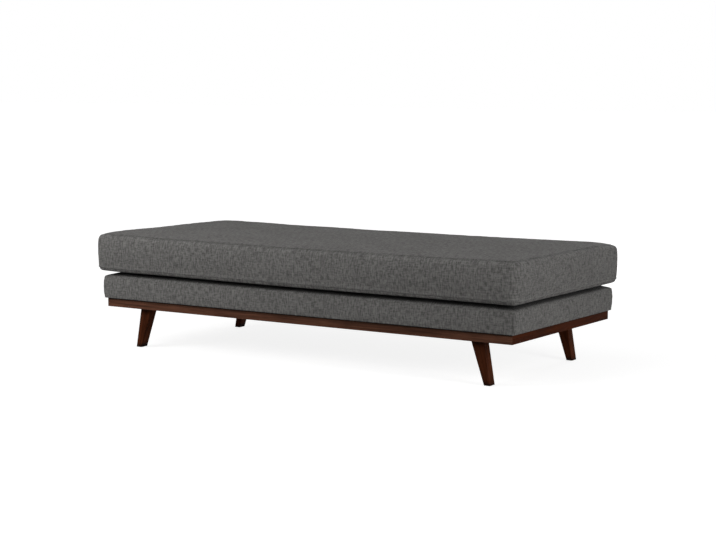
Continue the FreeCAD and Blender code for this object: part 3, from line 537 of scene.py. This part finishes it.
weave, given, result = effect(
    "melange_weave",
    [("Place", "Vector"), ("Pitch", "Float"), ("Dark", "Color"), ("Light", "Color")],
    [("Colour", "Color"), ("Height", "Float")],
)
parts = put(weave, "SeparateXYZ", {0: given["Place"]}).outputs
threads = [sums(weave, "DIVIDE", parts[k], given["Pitch"]) for k in (0, 1)]
cell = [sums(weave, "FLOOR", t) for t in threads]
arch = [sums(weave, "SINE", sums(weave, "MULTIPLY", sums(weave, "FRACT", t), math.pi)) for t in threads]
over = sums(weave, "MODULO", sums(weave, "ABSOLUTE", sums(weave, "ADD", *cell)), 2.0)
lift = [sums(weave, "MULTIPLY", arch[k], sums(weave, "MULTIPLY_ADD", arch[1 - k], 0.6, 0.4)) for k in (0, 1)]
tones = []
for k, slub in ((0, (900.0, 60.0, 0.0)), (1, (60.0, 900.0, 0.0))):
    lot = put(weave, "TexWhiteNoise", {"W": cell[k]}, noise_dimensions="1D").outputs[0]
    yarn = speckle(weave, vectors(weave, "MULTIPLY", given["Place"], slub), 1.0, 3.0, 0.65)
    slubs = graded(weave, yarn, 0.25, 0.75, 0.0, 0.65)
    tones.append(sums(weave, "ADD", sums(weave, "MULTIPLY", lot, 0.35), slubs))
height = put(weave, "Mix", {0: over, 2: lift[0], 3: lift[1]}, data_type="FLOAT").outputs[0]
tone = put(weave, "Mix", {0: over, 2: tones[0], 3: tones[1]}, data_type="FLOAT").outputs[0]
streaks = []
for stretch, share in (((170.0, 42.0, 0.0), 0.6), ((45.0, 180.0, 0.0), 0.4)):
    run = speckle(weave, vectors(weave, "MULTIPLY", given["Place"], stretch), 1.0, 3.0, 0.6)
    streaks.append(sums(weave, "MULTIPLY", graded(weave, run, 0.36, 0.64), share))
streaks = sums(weave, "ADD", *streaks)
tone = sums(weave, "ADD", sums(weave, "MULTIPLY", tone, 0.35), sums(weave, "MULTIPLY", streaks, 0.65))
shade = sums(weave, "MULTIPLY_ADD", height, 0.35, 0.65)
feed(weave, result["Colour"], dimmed(weave, mixed(weave, tone, given["Dark"], given["Light"]), shade))
feed(weave, result["Height"], sums(weave, "ADD", height, sums(weave, "MULTIPLY", tone, 0.5)))


def melange(name, dark, light):
    """The upholstery cloth: a plain weave of mixed grey yarns with slubs, rubbed smoother in places; seams
    and nooks get painted shade.
    """
    made, tree, shader, place = surface(name, Specular_IOR_Level=0.08, Sheen_Weight=0.03, Sheen_Roughness=0.6)
    yarn_pitch = 0.0016
    on_cloth = put(tree, "UVMap", uv_map="cloth").outputs[0]
    woven = placed(tree, weave, Place=on_cloth, Pitch=yarn_pitch, Dark=dark, Light=light)
    rubbed = graded(tree, speckle(tree, place, 9.0, 3.0), 0.35, 0.7)
    level = sums(tree, "MULTIPLY_ADD", rubbed, 0.07, 0.965)
    # Painted shade along the seams, where the cloth is drawn in: the colour is darkened by a share that
    # varies from place to place.
    drawn = put(tree, "Attribute", attribute_name="seam").outputs["Fac"]
    uneven = graded(tree, speckle(tree, place, 55.0, 3.0), 0.35, 0.65, 0.12, 0.42)
    level = sums(tree, "MULTIPLY", level, sums(tree, "SUBTRACT", 1.0, sums(tree, "MULTIPLY", drawn, uneven)))
    # Painted shade in nooks, as in the gap between the cushion and the seat box: the colour falls nearly to
    # black where little is open.
    nook = put(tree, "AmbientOcclusion", {"Distance": 0.030}, samples=6).outputs["AO"]
    level = sums(tree, "MULTIPLY", level, graded(tree, nook, 0.28, 0.64, 0.07, 1.0))
    feed(tree, shader["Base Color"], dimmed(tree, woven["Colour"], level))
    feed(tree, shader["Roughness"], sums(tree, "MULTIPLY_ADD", rubbed, -0.08, 0.92))
    feed(tree, shader["Normal"], relief(tree, woven["Height"], 0.0005, 0.7))
    return made


cover_cloth = melange("charcoal_melange", (0.055, 0.0535, 0.0515, 1), (0.265, 0.2585, 0.249, 1))

deck_low, deck_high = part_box("deck_cover")


def off_left_end(x):
    """Nought at the left end, rising to one short of the middle and staying there."""
    return np.clip((x + 0.7) / 0.6, 0, 1)


def pressed(co):
    """Where the top of the seat box goes once its cloth pulls it down along the edges and at the corners."""
    edge_pull, right_pull, end_pull, corner_pull = 0.0085, 0.0040, 0.0012, 0.0018
    edge_reach, corner_reach, down_to = 0.035, 0.06, 0.024
    from_end, from_side = (deck_high.x - abs(co[:, 0])).clip(0), (deck_high.y - abs(co[:, 1])).clip(0)
    sunk = edge_pull + right_pull * off_left_end(co[:, 0])
    sunk = sunk * fading(np.minimum(from_end, from_side), edge_reach)
    sunk += end_pull * fading(from_end, edge_reach)
    sunk += corner_pull * fading(np.hypot(from_end, from_side), corner_reach)
    share = np.clip((co[:, 2] - deck_high.z + down_to) / down_to, 0, 1)
    return np.column_stack([co[:, :2], co[:, 2] - sunk * share])


deck_size = (deck_high.x, deck_high.y, deck_low.z, deck_high.z)
deck_turns = (0.006, 0.018, 0.003)
deck_rows = row_levels(deck_low.z + deck_turns[2], deck_high.z - deck_turns[1], 0.009)
deck_hem, box_pitch = 0.036, 0.022
hem_x, hem_y = [(deck_hem - half, half - deck_hem) for half in (deck_high.x, deck_high.y)]
deck_mesh = soft_box(
    "deck_cover_cloth", deck_size, deck_turns, box_pitch, deck_rows,
    extra_x=hem_x, extra_y=hem_y, hem=deck_hem,
)
co, down = points_of(deck_mesh), down_of(deck_mesh)
side_depth = deck_rows[0] - deck_rows[-1]
on_side = (down > 0) & (down < side_depth)
corner_strip, most_outward, least_belly = 0.012, 0.004, 0.0028
at_corner = (abs(co[:, 0]) > deck_high.x - corner_strip) & (abs(co[:, 1]) > deck_high.y - corner_strip)
held = np.where(on_side & ~at_corner, 0.0, 1.0)
pushed = swell(deck_mesh, held, 3.0)
outward = np.clip((pushed * normals_of(deck_mesh)).sum(1), 0, most_outward)
belly = np.where(on_side, np.sin(np.pi * np.clip(down / side_depth, 0, 1)), 0) * least_belly
co += normals_of(deck_mesh) * np.maximum(outward * 0.6, belly)[:, None]
move_points(deck_mesh, pressed(co))
deck_mesh = divided(deck_mesh)
co, down, facing = points_of(deck_mesh), down_of(deck_mesh), normals_of(deck_mesh)
from_corner = np.minimum(deck_high.x - abs(co[:, 0]), 9) + np.minimum(deck_high.y - abs(co[:, 1]), 9)
side = (down > -0.02) & (down < side_depth + 0.004)
pucker = ripple(co, (8, 8, 90), 3.1) * np.exp(-from_corner / 0.02) * 0.0012
seam = np.where(side, groove(from_corner, 0.0035, 0.0018, 0.0035) + pucker, 0)
uneven = ripple(co, (9, 9, 14), 8.4) * 0.0007
facing_out = np.where(co[:, 2] > deck_low.z + 0.002, seam + uneven + 0.0006, 0)
move_points(deck_mesh, co + facing * facing_out[:, None])
# The seam marks set where the cloth's colour gets painted shade along the corner seams.
mark_seams(deck_mesh, np.where(side, 0.7 * fading(from_corner, 0.006), 0))
deck_panel_ends = (-0.0283, side_depth + 0.0048)
lay_cloth(deck_mesh, deck_size, deck_turns[0], deck_panel_ends)
deck_mesh.materials.append(cover_cloth)
deck_cover = link("seat_box_cover", deck_mesh)
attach(deck_cover, "base")
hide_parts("deck_cover")


# Foam of the seat box
# A slab of cream foam as long and wide as the cover, lying on the felt and on the tops of the edge strips.
# Its edges are pressed down where the cloth is pulled tight.

foam_low, foam_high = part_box("deck_foam")
foam_size = (foam_high.x, foam_high.y, foam_low.z, foam_high.z)
foam_turns = (0.018, 0.0165, 0.002)
foam_rows = row_levels(foam_low.z + foam_turns[2], foam_high.z - foam_turns[1], 0.004)
foam_mesh = soft_box("deck_foam_block", foam_size, foam_turns, box_pitch, foam_rows)
move_points(foam_mesh, pressed(points_of(foam_mesh)))
foam_mesh = divided(foam_mesh)
foam_mesh.materials.append(cream_foam)
foam_block = link("deck_foam_block", foam_mesh)
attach(foam_block, "base")
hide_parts("deck_foam")


# Dust cover
# Thin black non-woven cloth stapled under the seat frame to keep the dust in. It rests on the plinth
# and its bearers, and sags a few millimetres between them.

dust_low, dust_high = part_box("dust_cover")
bearers = [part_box(name) for name in ("leg_bearer_left", "centre_bearer", "leg_bearer_right")]
rail_inner_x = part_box("plinth_right_rail")[0].x
rail_inner_y = bearers[0][1].y
bays = [-rail_inner_x] + [corner.x for bearer in bearers for corner in bearer] + [rail_inner_x]
xs = np.unique(np.concatenate([np.linspace(dust_low.x, dust_high.x, 151), bays]).round(5))
ys = np.linspace(dust_low.y, dust_high.y, 63)
ys = np.unique(np.concatenate([ys, [-rail_inner_y, rail_inner_y]]).round(5))
gx, gy = np.meshgrid(xs, ys, indexing="ij")
hang = np.zeros_like(gx)
most_sag, sag_to_width, bowl_shape, crease_share, lift_clear = 0.004, 0.012, 0.8, 0.45, 0.0003
for left, right in zip(bays[::2], bays[1::2]):
    share_x = np.clip((gx - left) / (right - left), 0, 1)
    share_y = np.clip((gy + rail_inner_y) / (2 * rail_inner_y), 0, 1)
    bowl = (np.sin(np.pi * share_x) * np.sin(np.pi * share_y)) ** bowl_shape
    hang += np.minimum(most_sag, (right - left) * sag_to_width) * bowl
flat_points = np.column_stack([gx.ravel(), gy.ravel(), np.zeros(gx.size)])
creases = ripple(flat_points, (26, 7, 0), 2.0) * 0.5 + ripple(flat_points, (9, 30, 0), 6.0) * 0.5
lower = dust_low.z - hang.ravel() * (1 + crease_share * creases)
index = np.arange(gx.size).reshape(gx.shape)
quads = np.stack([index[:-1, :-1], index[1:, :-1], index[1:, 1:], index[:-1, 1:]], -1).reshape(-1, 4)
dust_mesh = bpy.data.meshes.new("dust_cover_cloth")
dust_mesh.from_pydata(np.column_stack([flat_points[:, :2], lower + lift_clear]).tolist(), [], quads.tolist())
dust_mesh.shade_smooth()
cambric = matted("black_cambric", (0.010, 0.010, 0.011, 1), (0.034, 0.034, 0.036, 1), 900.0, 0.0003)
dust_mesh.materials.append(cambric)
dust_cover = link("dust_cover_cloth", dust_mesh)
thick = dust_cover.modifiers.new("Thickness", "SOLIDIFY")
thick.thickness = 0.0005
thick.offset = 0.0
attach(dust_cover, "base")
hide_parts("dust_cover")


# Loose cushion
# A boxed cushion in the same cloth: top and bottom panels sewn to a border strip, with no piping, over a
# wadding wrap and a foam core. It is crowned, and lies loose on the seat box.

cushion_low, cushion_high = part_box("cushion_cover")
cushion_size = (cushion_high.x, cushion_high.y, cushion_low.z, cushion_high.z)
cushion_turns = (0.024, 0.020, 0.018)
zip_line = (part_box("zip_tape_upper")[1].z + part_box("zip_tape_lower")[0].z) / 2
zip_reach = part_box("zip_tape_upper")[1].x
placket_half, placket_reach, placket_depth, slot_half = 0.013, zip_reach + 0.024, 0.005, 0.006
fold = 0.0007
zip_rows = [zip_line + s * d for s in (-1, 1) for d in (slot_half, placket_half - fold, placket_half + fold)]
side_top, side_low = cushion_high.z - cushion_turns[1], cushion_low.z + cushion_turns[2]
border_depth = side_top - side_low
top_seam, bottom_seam = -0.0251, border_depth + 0.0055
seam_rows = [side_top - 0.004, side_low + 0.003]
cushion_rows = row_levels(side_low, side_top, 0.011, zip_rows + seam_rows)
placket_lines = [s * (placket_reach + d) for s in (-1, 1) for d in (-fold, fold)] + [-zip_reach, zip_reach]


def cushion_skin(name, pitch, inset):
    """The cushion's form before it is filled, drawn in a little on every side."""
    half_x, half_y, low, high = cushion_size
    size = (half_x - inset, half_y - inset, low + inset, high - inset)
    turns = tuple(max(t - inset, 0.004) for t in cushion_turns)
    if inset:
        rows = row_levels(size[2] + turns[2], size[3] - turns[1], 0.014)
        return soft_box(name, size, turns, pitch, rows)
    return soft_box(name, size, turns, pitch, cushion_rows, extra_x=placket_lines)


def settled(co):
    """Where the points of the cushion go once it is filled. Its border bellies, its lower edge lifts off the
    seat, its upper corners drop, most at the back right, and both ends shift a little to the left."""
    half_x, half_y, low, high = cushion_size
    rim, belly_most, belly_low, lift_from, drop_from = 0.03, 0.0055, 1.36, 0.36, 0.40
    x, y, z = co.T
    from_edge = np.minimum((half_x - abs(x)).clip(0), (half_y - abs(y)).clip(0))
    beyond = [x - np.clip(x, rim - half_x, half_x - rim), y - np.clip(y, rim - half_y, half_y - rim)]
    away = np.column_stack(beyond)
    away /= np.maximum(np.hypot(*away.T), 1e-6)[:, None]
    beside_zip = np.clip(1.5 - abs(z - zip_line) / 0.030, 0, 1)
    beside_zip = beside_zip * np.clip((placket_reach + 0.04 - abs(x)) / 0.03, 0, 1)
    share = np.sin(np.pi * np.clip((z - low) / (high - low), 0, 1) ** belly_low)
    belly = belly_most * share * fading(from_edge, 0.04) * (1 - beside_zip * (y > 0.3))
    lower = np.clip((lift_from - z) / (lift_from - low), 0, 1)
    lift = (0.0070 - 0.0035 * off_left_end(x) - 0.0010 * fading(half_x - x, 0.10)) * fading(from_edge, 0.040)
    lift += 0.002 * fading(np.hypot(x + half_x, y + half_y), 0.06)
    upper = np.clip((z - drop_from) / 0.06, 0, 1)
    drop = -0.004 * fading(x + half_x, 0.15) * fading(y + half_y - 0.15, 0.12)
    for end, side, depth, reach in ((1, 1, 0.008, 0.06), (-1, 1, 0.003, 0.06), (-1, -1, 0.003, 0.04)):
        drop += depth * fading(np.hypot(x - end * half_x, y - side * half_y), reach)
    leftward = 0.0025 * np.clip((abs(x) - 0.80) / 0.12, 0, 1)
    settled_x, settled_y = x + belly * away[:, 0] - leftward, y + belly * away[:, 1]
    return np.column_stack([settled_x, settled_y, z + lower * lift - upper * drop])


cushion_mesh = cushion_skin("cushion_cloth", 0.020, 0.0)
co, down = points_of(cushion_mesh), down_of(cushion_mesh)
on_top, resting = down < -0.02, down > border_depth + 0.012
sewn = (abs(down - top_seam) < 0.002) | (abs(down - bottom_seam) < 0.002)
at_back = co[:, 1] > cushion_high.y - 0.001
near_zip = at_back & (abs(co[:, 2] - zip_line) < 0.016) & (abs(co[:, 0]) < placket_reach + 0.01)
pushed = swell(cushion_mesh, np.where(sewn | near_zip | resting, 1.0, 0.0), 1.0)
top_fullness, side_fullness = 0.0075, 0.0020
for part, most in ((on_top, top_fullness), (~on_top & ~resting, side_fullness)):
    pushed[part] *= most / max(np.linalg.norm(pushed[part], axis=1).max(), 0.0001)
middle = 1 - (co[:, 0] / cushion_size[0]) ** 2
long_side = abs(co[:, 1]) > cushion_size[1] - 0.05
slack = np.clip((co[:, 2] - 0.40) / (side_top - 0.40), 0, 1)
pushed[:, 2] -= np.where(resting, 0, 0.007 * middle * slack * (abs(co[:, 1]) / cushion_size[1]) ** 3)
pushed[:, 1] -= np.where(long_side & ~resting & ~near_zip, 0.0015 * middle * np.sign(co[:, 1]), 0)
move_points(cushion_mesh, settled(co + pushed))

cushion_mesh = divided(cushion_mesh)
co, down, facing = points_of(cushion_mesh), down_of(cushion_mesh), normals_of(cushion_mesh)
out = groove(down, top_seam, 0.0022, 0.0050) + groove(down, bottom_seam, 0.0016, 0.003)
for place in (top_seam, bottom_seam):
    beside = np.exp(-np.abs(down - place) / 0.016)
    out += beside * (
        ripple(co, (38, 38, 30), place * 900) * 0.0012 + ripple(co, (95, 95, 60), place * 400) * 0.0006
    )
out += fading(down - bottom_seam + 0.006, 0.003) * 0.0014
out += ripple(co, (6, 6, 9), 4.0) * 0.0012 + ripple(co, (17, 17, 22), 9.0) * 0.0006
under = down > border_depth + 0.024
out[under] = 0
co += facing * out[:, None]
co[:, 2] = np.maximum(co[:, 2], cushion_low.z)
at_back, off_zip = co[:, 1] > cushion_size[1] - 0.012, abs(co[:, 2] - zip_line)
behind = at_back & (abs(co[:, 0]) < placket_reach) & (off_zip < placket_half)
co[behind, 1] = cushion_size[1] - placket_depth
near_slot = behind & (off_zip < slot_half + 0.0015) & (abs(co[:, 0]) < zip_reach)
co[near_slot, 1] -= 0.0006
move_points(cushion_mesh, co)
# The seam marks set where the cloth's colour gets painted shade along the top and bottom seams.
mark_seams(cushion_mesh, fading(down - top_seam, 0.0065) + 0.5 * fading(down - bottom_seam, 0.004))
lay_cloth(cushion_mesh, cushion_size, cushion_turns[0], (top_seam, bottom_seam))
middle_of = np.zeros(len(cushion_mesh.polygons) * 3, np.float32)
cushion_mesh.polygons.foreach_get("center", middle_of)
middle_of = middle_of.reshape(-1, 3)
slot_faces = (
    (middle_of[:, 1] > cushion_size[1] - 0.012)
    & (abs(middle_of[:, 0]) < zip_reach)
    & (abs(middle_of[:, 2] - zip_line) < slot_half)
)
work = bmesh.new()
work.from_mesh(cushion_mesh)
work.faces.ensure_lookup_table()
bmesh.ops.delete(work, geom=[work.faces[i] for i in np.flatnonzero(slot_faces)], context="FACES")
work.to_mesh(cushion_mesh)
work.free()
cushion_mesh.materials.append(cover_cloth)
cushion = link("cushion_cover_cloth", cushion_mesh)
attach(cushion, "cushion")
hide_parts("cushion_cover")

for name, node, inset, slot_name, finish in (
    ("cushion_wadding_wrap", "cushion_wadding", 0.009, "wadding",
     matted("white_wadding", (0.60, 0.60, 0.58, 1), (0.84, 0.84, 0.82, 1), 260.0, 0.002)),
    ("cushion_foam_core", "cushion_core", 0.018, "foam", cream_foam),
):
    mesh = cushion_skin(name, 0.034, inset)
    co, down = points_of(mesh), down_of(mesh)
    rise = 0.006 * (1 - abs(co[:, 0] / cushion_size[0]) ** 4) * (1 - (co[:, 1] / cushion_size[1]) ** 2)
    co[:, 2] += np.where(down < 0, rise, 0)
    slack = (1 - (co[:, 0] / cushion_size[0]) ** 2) * (abs(co[:, 1]) / cushion_size[1]) ** 3
    co[:, 2] -= 0.004 * slack * (down < 0)
    co = settled(co)
    around_zip = (abs(co[:, 2] - zip_line) < 0.022) & (abs(co[:, 0]) < placket_reach + 0.01)
    around_zip &= co[:, 1] > 0.40
    co[around_zip, 1] = np.minimum(co[around_zip, 1], cushion_size[1] - 0.0096)
    move_points(mesh, co)
    mesh = divided(mesh)
    mesh.materials.append(finish)
    inner = link(name, mesh)
    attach(inner, "cushion")
    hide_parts(node)


# Seam stitches
# The border strip is topstitched to the bottom panel just above the turn, in a slightly paler twisted
# thread, with stitches about six millimetres long.

surface_of = BVHTree.FromPolygons(
    [v.co for v in cushion_mesh.vertices], [p.vertices[:] for p in cushion_mesh.polygons]
)
stitch_shape = [
    (-1, 0, 0.2), (-0.6, 0.8, 0), (-0.6, 0, 0.9), (-0.6, -0.8, 0),
    (0.6, 0.8, 0), (0.6, 0, 0.9), (0.6, -0.8, 0), (1, 0, 0.2),
]
stitch_faces = [(0, 2, 1), (0, 3, 2), (1, 2, 5, 4), (2, 3, 6, 5), (4, 5, 7), (5, 6, 7)]
turned = cushion_turns[0]
straight_x, straight_y = cushion_size[0] - turned, cushion_size[1] - turned
ring = []
for end, side, begin in ((1, -1, -90), (1, 1, 0), (-1, 1, 90), (-1, -1, 180)):
    for angle in range(begin, begin + 91, 10):
        x = end * straight_x + turned * math.cos(math.radians(angle))
        ring.append((x, side * straight_y + turned * math.sin(math.radians(angle))))
ring = np.array(ring + ring[:1])
round_ring = np.concatenate([[0], np.cumsum(np.linalg.norm(np.diff(ring, axis=0), axis=1))])
marks = np.linspace(0, round_ring[-1], 400)
flat_path = [np.interp(marks, round_ring, ring[:, c]) for c in (0, 1)]
path = settled(np.column_stack(flat_path + [np.full(len(marks), side_low - 0.0015)]))
lengths = np.concatenate([[0], np.cumsum(np.linalg.norm(np.diff(path, axis=0), axis=1))])
stitch_pitch, stitch_half, thread_radius = 0.0062, 0.0026, 0.0006
count = int(lengths[-1] / stitch_pitch)
points, faces = [], []
for k in range(count):
    at = (k + 0.5) * lengths[-1] / count
    here, ahead = [
        Vector([np.interp(place % lengths[-1], lengths, path[:, c]) for c in range(3)])
        for place in (at, at + 0.002)
    ]
    along = (ahead - here).normalized()
    outward = Vector((along.y, -along.x, 0)).normalized()
    origin = here + outward * 0.05
    hit, normal, _, _ = surface_of.ray_cast(origin, -outward, 0.1)
    if hit is None:
        continue
    across = normal.cross(along).normalized()
    first = len(points)
    for u, v, w in stitch_shape:
        points.append(
            hit + along * (u * stitch_half) + across * (v * thread_radius) + normal * (w * thread_radius)
        )
    faces += [tuple(first + i for i in face) for face in stitch_faces]
thread, tree, shader, place = surface("grey_thread", Specular_IOR_Level=0.3, Sheen_Weight=0.2)
twist = graded(tree, speckle(tree, place, 2600.0, 2.0), 0.35, 0.65)
feed(tree, shader["Base Color"], mixed(tree, twist, (0.24, 0.235, 0.227, 1), (0.40, 0.39, 0.375, 1)))
feed(tree, shader["Roughness"], sums(tree, "MULTIPLY_ADD", twist, -0.1, 0.8))
feed(tree, shader["Normal"], relief(tree, twist, 0.0002, 0.5))
stitch_mesh = bpy.data.meshes.new("seam_stitches")
stitch_mesh.from_pydata(points, [], faces)
stitch_mesh.shade_smooth()
stitch_mesh.materials.append(thread)
stitches = link("seam_stitches", stitch_mesh)
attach(stitches, "cushion")


# Zip
# A long nylon coil zip in a shallow placket along the back border strip: two woven tapes, each with a
# row of coil turns, a metal stop at each end, and a cast slider with a pull.

tape_low, tape_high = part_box("zip_tape_upper")
coil_depth, half_slit = 0.002, 0.0006
tape_back, tape_front = tape_low.y, tape_high.y - coil_depth
tape_inner, tape_outer = half_slit, tape_high.z - zip_line
tape_finish, tree, shader, place = surface(
    "zip_tape_weave", Roughness=0.85, Specular_IOR_Level=0.2, Sheen_Weight=0.1
)
ribs = sums(tree, "SINE", sums(tree, "MULTIPLY", put(tree, "SeparateXYZ", {0: place}).outputs[0], 5200.0))
fuzz = speckle(tree, place, 700.0, 3.0)
rib_tone = graded(tree, sums(tree, "ADD", ribs, fuzz), -0.6, 1.6)
feed(tree, shader["Base Color"], mixed(tree, rib_tone, (0.028, 0.028, 0.029, 1), (0.062, 0.062, 0.063, 1)))
feed(tree, shader["Normal"], relief(tree, rib_tone, 0.0003, 0.6))
coil_finish, tree, shader, place = surface("nylon_coil", Specular_IOR_Level=0.5)
sheen = graded(tree, speckle(tree, place, 500.0, 3.0), 0.3, 0.7)
feed(tree, shader["Base Color"], mixed(tree, sheen, (0.022, 0.022, 0.023, 1), (0.045, 0.045, 0.046, 1)))
feed(tree, shader["Roughness"], sums(tree, "MULTIPLY_ADD", sheen, 0.15, 0.32))

# The slider meets the same turns at both ends, because a whole number of them fills its travel.
travel_low, travel_high = next(j["range_m"] for j in frame["joints"] if j["name"] == "zip_slide")
turns_in_travel, turn_radius = 620, 0.00055
turn_pitch = (travel_high - travel_low) / turns_in_travel
turn_line = [(0.0031, 0.0002), (0.0029, 0.0013), (0.0018, 0.0017), (0.0006, 0.0015), (0.0001, 0.0009)]
turn_reach = zip_reach - 0.0045
for side, node in ((1, "zip_tape_upper"), (-1, "zip_tape_lower")):
    points, faces, finishes = [], [], []
    columns = np.linspace(-zip_reach, zip_reach, 301)
    outline = [
        (tape_inner, tape_back), (tape_inner, tape_front), (tape_outer, tape_front), (tape_outer, tape_back),
    ]
    for x in columns:
        wave = 0.00015 * math.sin(x * 140) + 0.0001 * math.sin(x * 53)
        points += [(x, y, zip_line + side * (z + (wave if z > 0.01 else 0))) for z, y in outline]
    for k in range(len(columns) - 1):
        for i in range(4):
            faces.append((4 * k + i, 4 * k + (i + 1) % 4, 4 * k + 4 + (i + 1) % 4, 4 * k + 4 + i)[::side])
    last = 4 * (len(columns) - 1)
    faces += [(0, 1, 2, 3)[::-side], tuple(last + i for i in range(4))[::side]]
    finishes += [0] * len(faces)
    turns = int(2 * turn_reach / turn_pitch)
    for k in range(turns):
        x = -turn_reach + (k + (0.25 if side > 0 else 0.75)) * turn_pitch
        first = len(points)
        for z, y in turn_line:
            for u, v in ((-1, -0.6), (1, -0.6), (0.7, 0.7), (-0.7, 0.7)):
                flattened = tape_front + y + v * turn_radius * 0.4
                points.append((x + u * turn_radius, flattened, zip_line + side * z))
        for ring in range(len(turn_line) - 1):
            for i in range(4):
                at = first + 4 * ring
                faces.append((at + i, at + 4 + i, at + 4 + (i + 1) % 4, at + (i + 1) % 4)[::side])
        finishes += [1] * (4 * (len(turn_line) - 1))
    tape_mesh = bpy.data.meshes.new(node + "_cloth")
    tape_mesh.from_pydata(points, [], faces)
    tape_mesh.materials.append(tape_finish)
    tape_mesh.materials.append(coil_finish)
    tape_mesh.polygons.foreach_set("material_index", finishes)
    tape = link(node + "_cloth", tape_mesh)
    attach(tape, "cushion")
    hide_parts(node)
gunmetal = steel("gunmetal_zip", (0.16, 0.16, 0.165, 1), (0.30, 0.30, 0.31, 1))
coat(["zip_slider", "zip_pull", "zip_stops"], gunmetal)


# Studio
# A plain white floor that stays white to the eye but keeps the shadow, and six soft boxes: above, in front,
# at the left, two at the right and behind. The camera looks from the front right, a little above.

def looked_at(tree):
    """One where the floor or sky is seen, also in a gloss or through glass, and nought where it lights."""
    ray = put(tree, "LightPath").outputs
    beyond = sums(tree, "MAXIMUM", ray["Is Glossy Ray"], ray["Is Transmission Ray"])
    return sums(tree, "MAXIMUM", ray["Is Camera Ray"], beyond)


floor_mesh = bpy.data.meshes.new("floor")
floor_mesh.from_pydata([(-40, -40, 0), (40, -40, 0), (40, 40, 0), (-40, 40, 0)], [], [(0, 1, 2, 3)])
floor_finish = bpy.data.materials.new("white_floor")
floor_finish.use_nodes = True
tree = floor_finish.node_tree
tree.nodes.clear()
lit = put(tree, "BsdfDiffuse", {"Color": (0.35, 0.35, 0.35, 1)}).outputs[0]
far = vectors(tree, "LENGTH", put(tree, "TexCoord").outputs["Object"], out=1)
brightness = graded(tree, far, 1.2, 4.5, 0.85, 1.0)
glow = put(tree, "Emission", {"Color": (1, 1, 1, 1), "Strength": brightness}).outputs[0]
shown = put(tree, "AddShader", {0: lit, 1: glow}).outputs[0]
both = put(tree, "MixShader", {0: looked_at(tree), 1: lit, 2: shown}).outputs[0]
put(tree, "OutputMaterial", {"Surface": both})
floor_mesh.materials.append(floor_finish)
floor = link("floor", floor_mesh)

world = bpy.data.worlds.new("studio")
bpy.context.scene.world = world
world.use_nodes = True
tree = world.node_tree
tree.nodes.clear()
fill_light, white = 0.105, 1.0
strength = put(tree, "Mix", {0: looked_at(tree), 2: fill_light, 3: white}, data_type="FLOAT").outputs[0]
sky = put(tree, "Background", {"Color": (1, 1, 1, 1), "Strength": strength}).outputs[0]
put(tree, "OutputWorld", {"Surface": sky})

aim = Vector((0, 0, 0.3))
for name, place, size, power in (
    ("soft_box_above", (-0.8, -1.2, 3.6), 3.0, 34.0),
    ("soft_box_front", (-1.0, -4.6, 2.6), 1.4, 42.0),
    ("soft_box_left", (-2.0, -2.4, 1.6), 1.2, 44.0),
    ("soft_box_right", (4.4, -0.8, 2.0), 1.4, 40.0),
    ("soft_box_right_low", (4.4, -1.2, 0.8), 1.4, 58.0),
    ("soft_box_back", (0.5, 4.6, 0.9), 1.4, 60.0),
):
    lamp = bpy.data.lights.new(name, "AREA")
    lamp.shape = "SQUARE"
    lamp.size = size
    lamp.energy = power
    made = link(name, lamp)
    made.location = place
    made.rotation_euler = (aim - Vector(place)).to_track_quat("-Z", "Y").to_euler()

picture_width, focal_pixels = 716, 1750
looks_down, turned_left, rolled = 6.4697, 32.854, 0.1346
lens = bpy.data.cameras.new("camera")
lens.sensor_width = 36.0
lens.lens = lens.sensor_width * focal_pixels / picture_width
camera = link("camera", lens)
camera.location = (3.7625, -5.7825, 1.1171)
level = Euler((math.radians(90 - looks_down), 0, math.radians(turned_left))).to_matrix()
camera.rotation_euler = (level @ Matrix.Rotation(math.radians(rolled), 3, "Z")).to_euler()
bpy.context.scene.camera = camera
bpy.context.scene.view_settings.view_transform = "Standard"
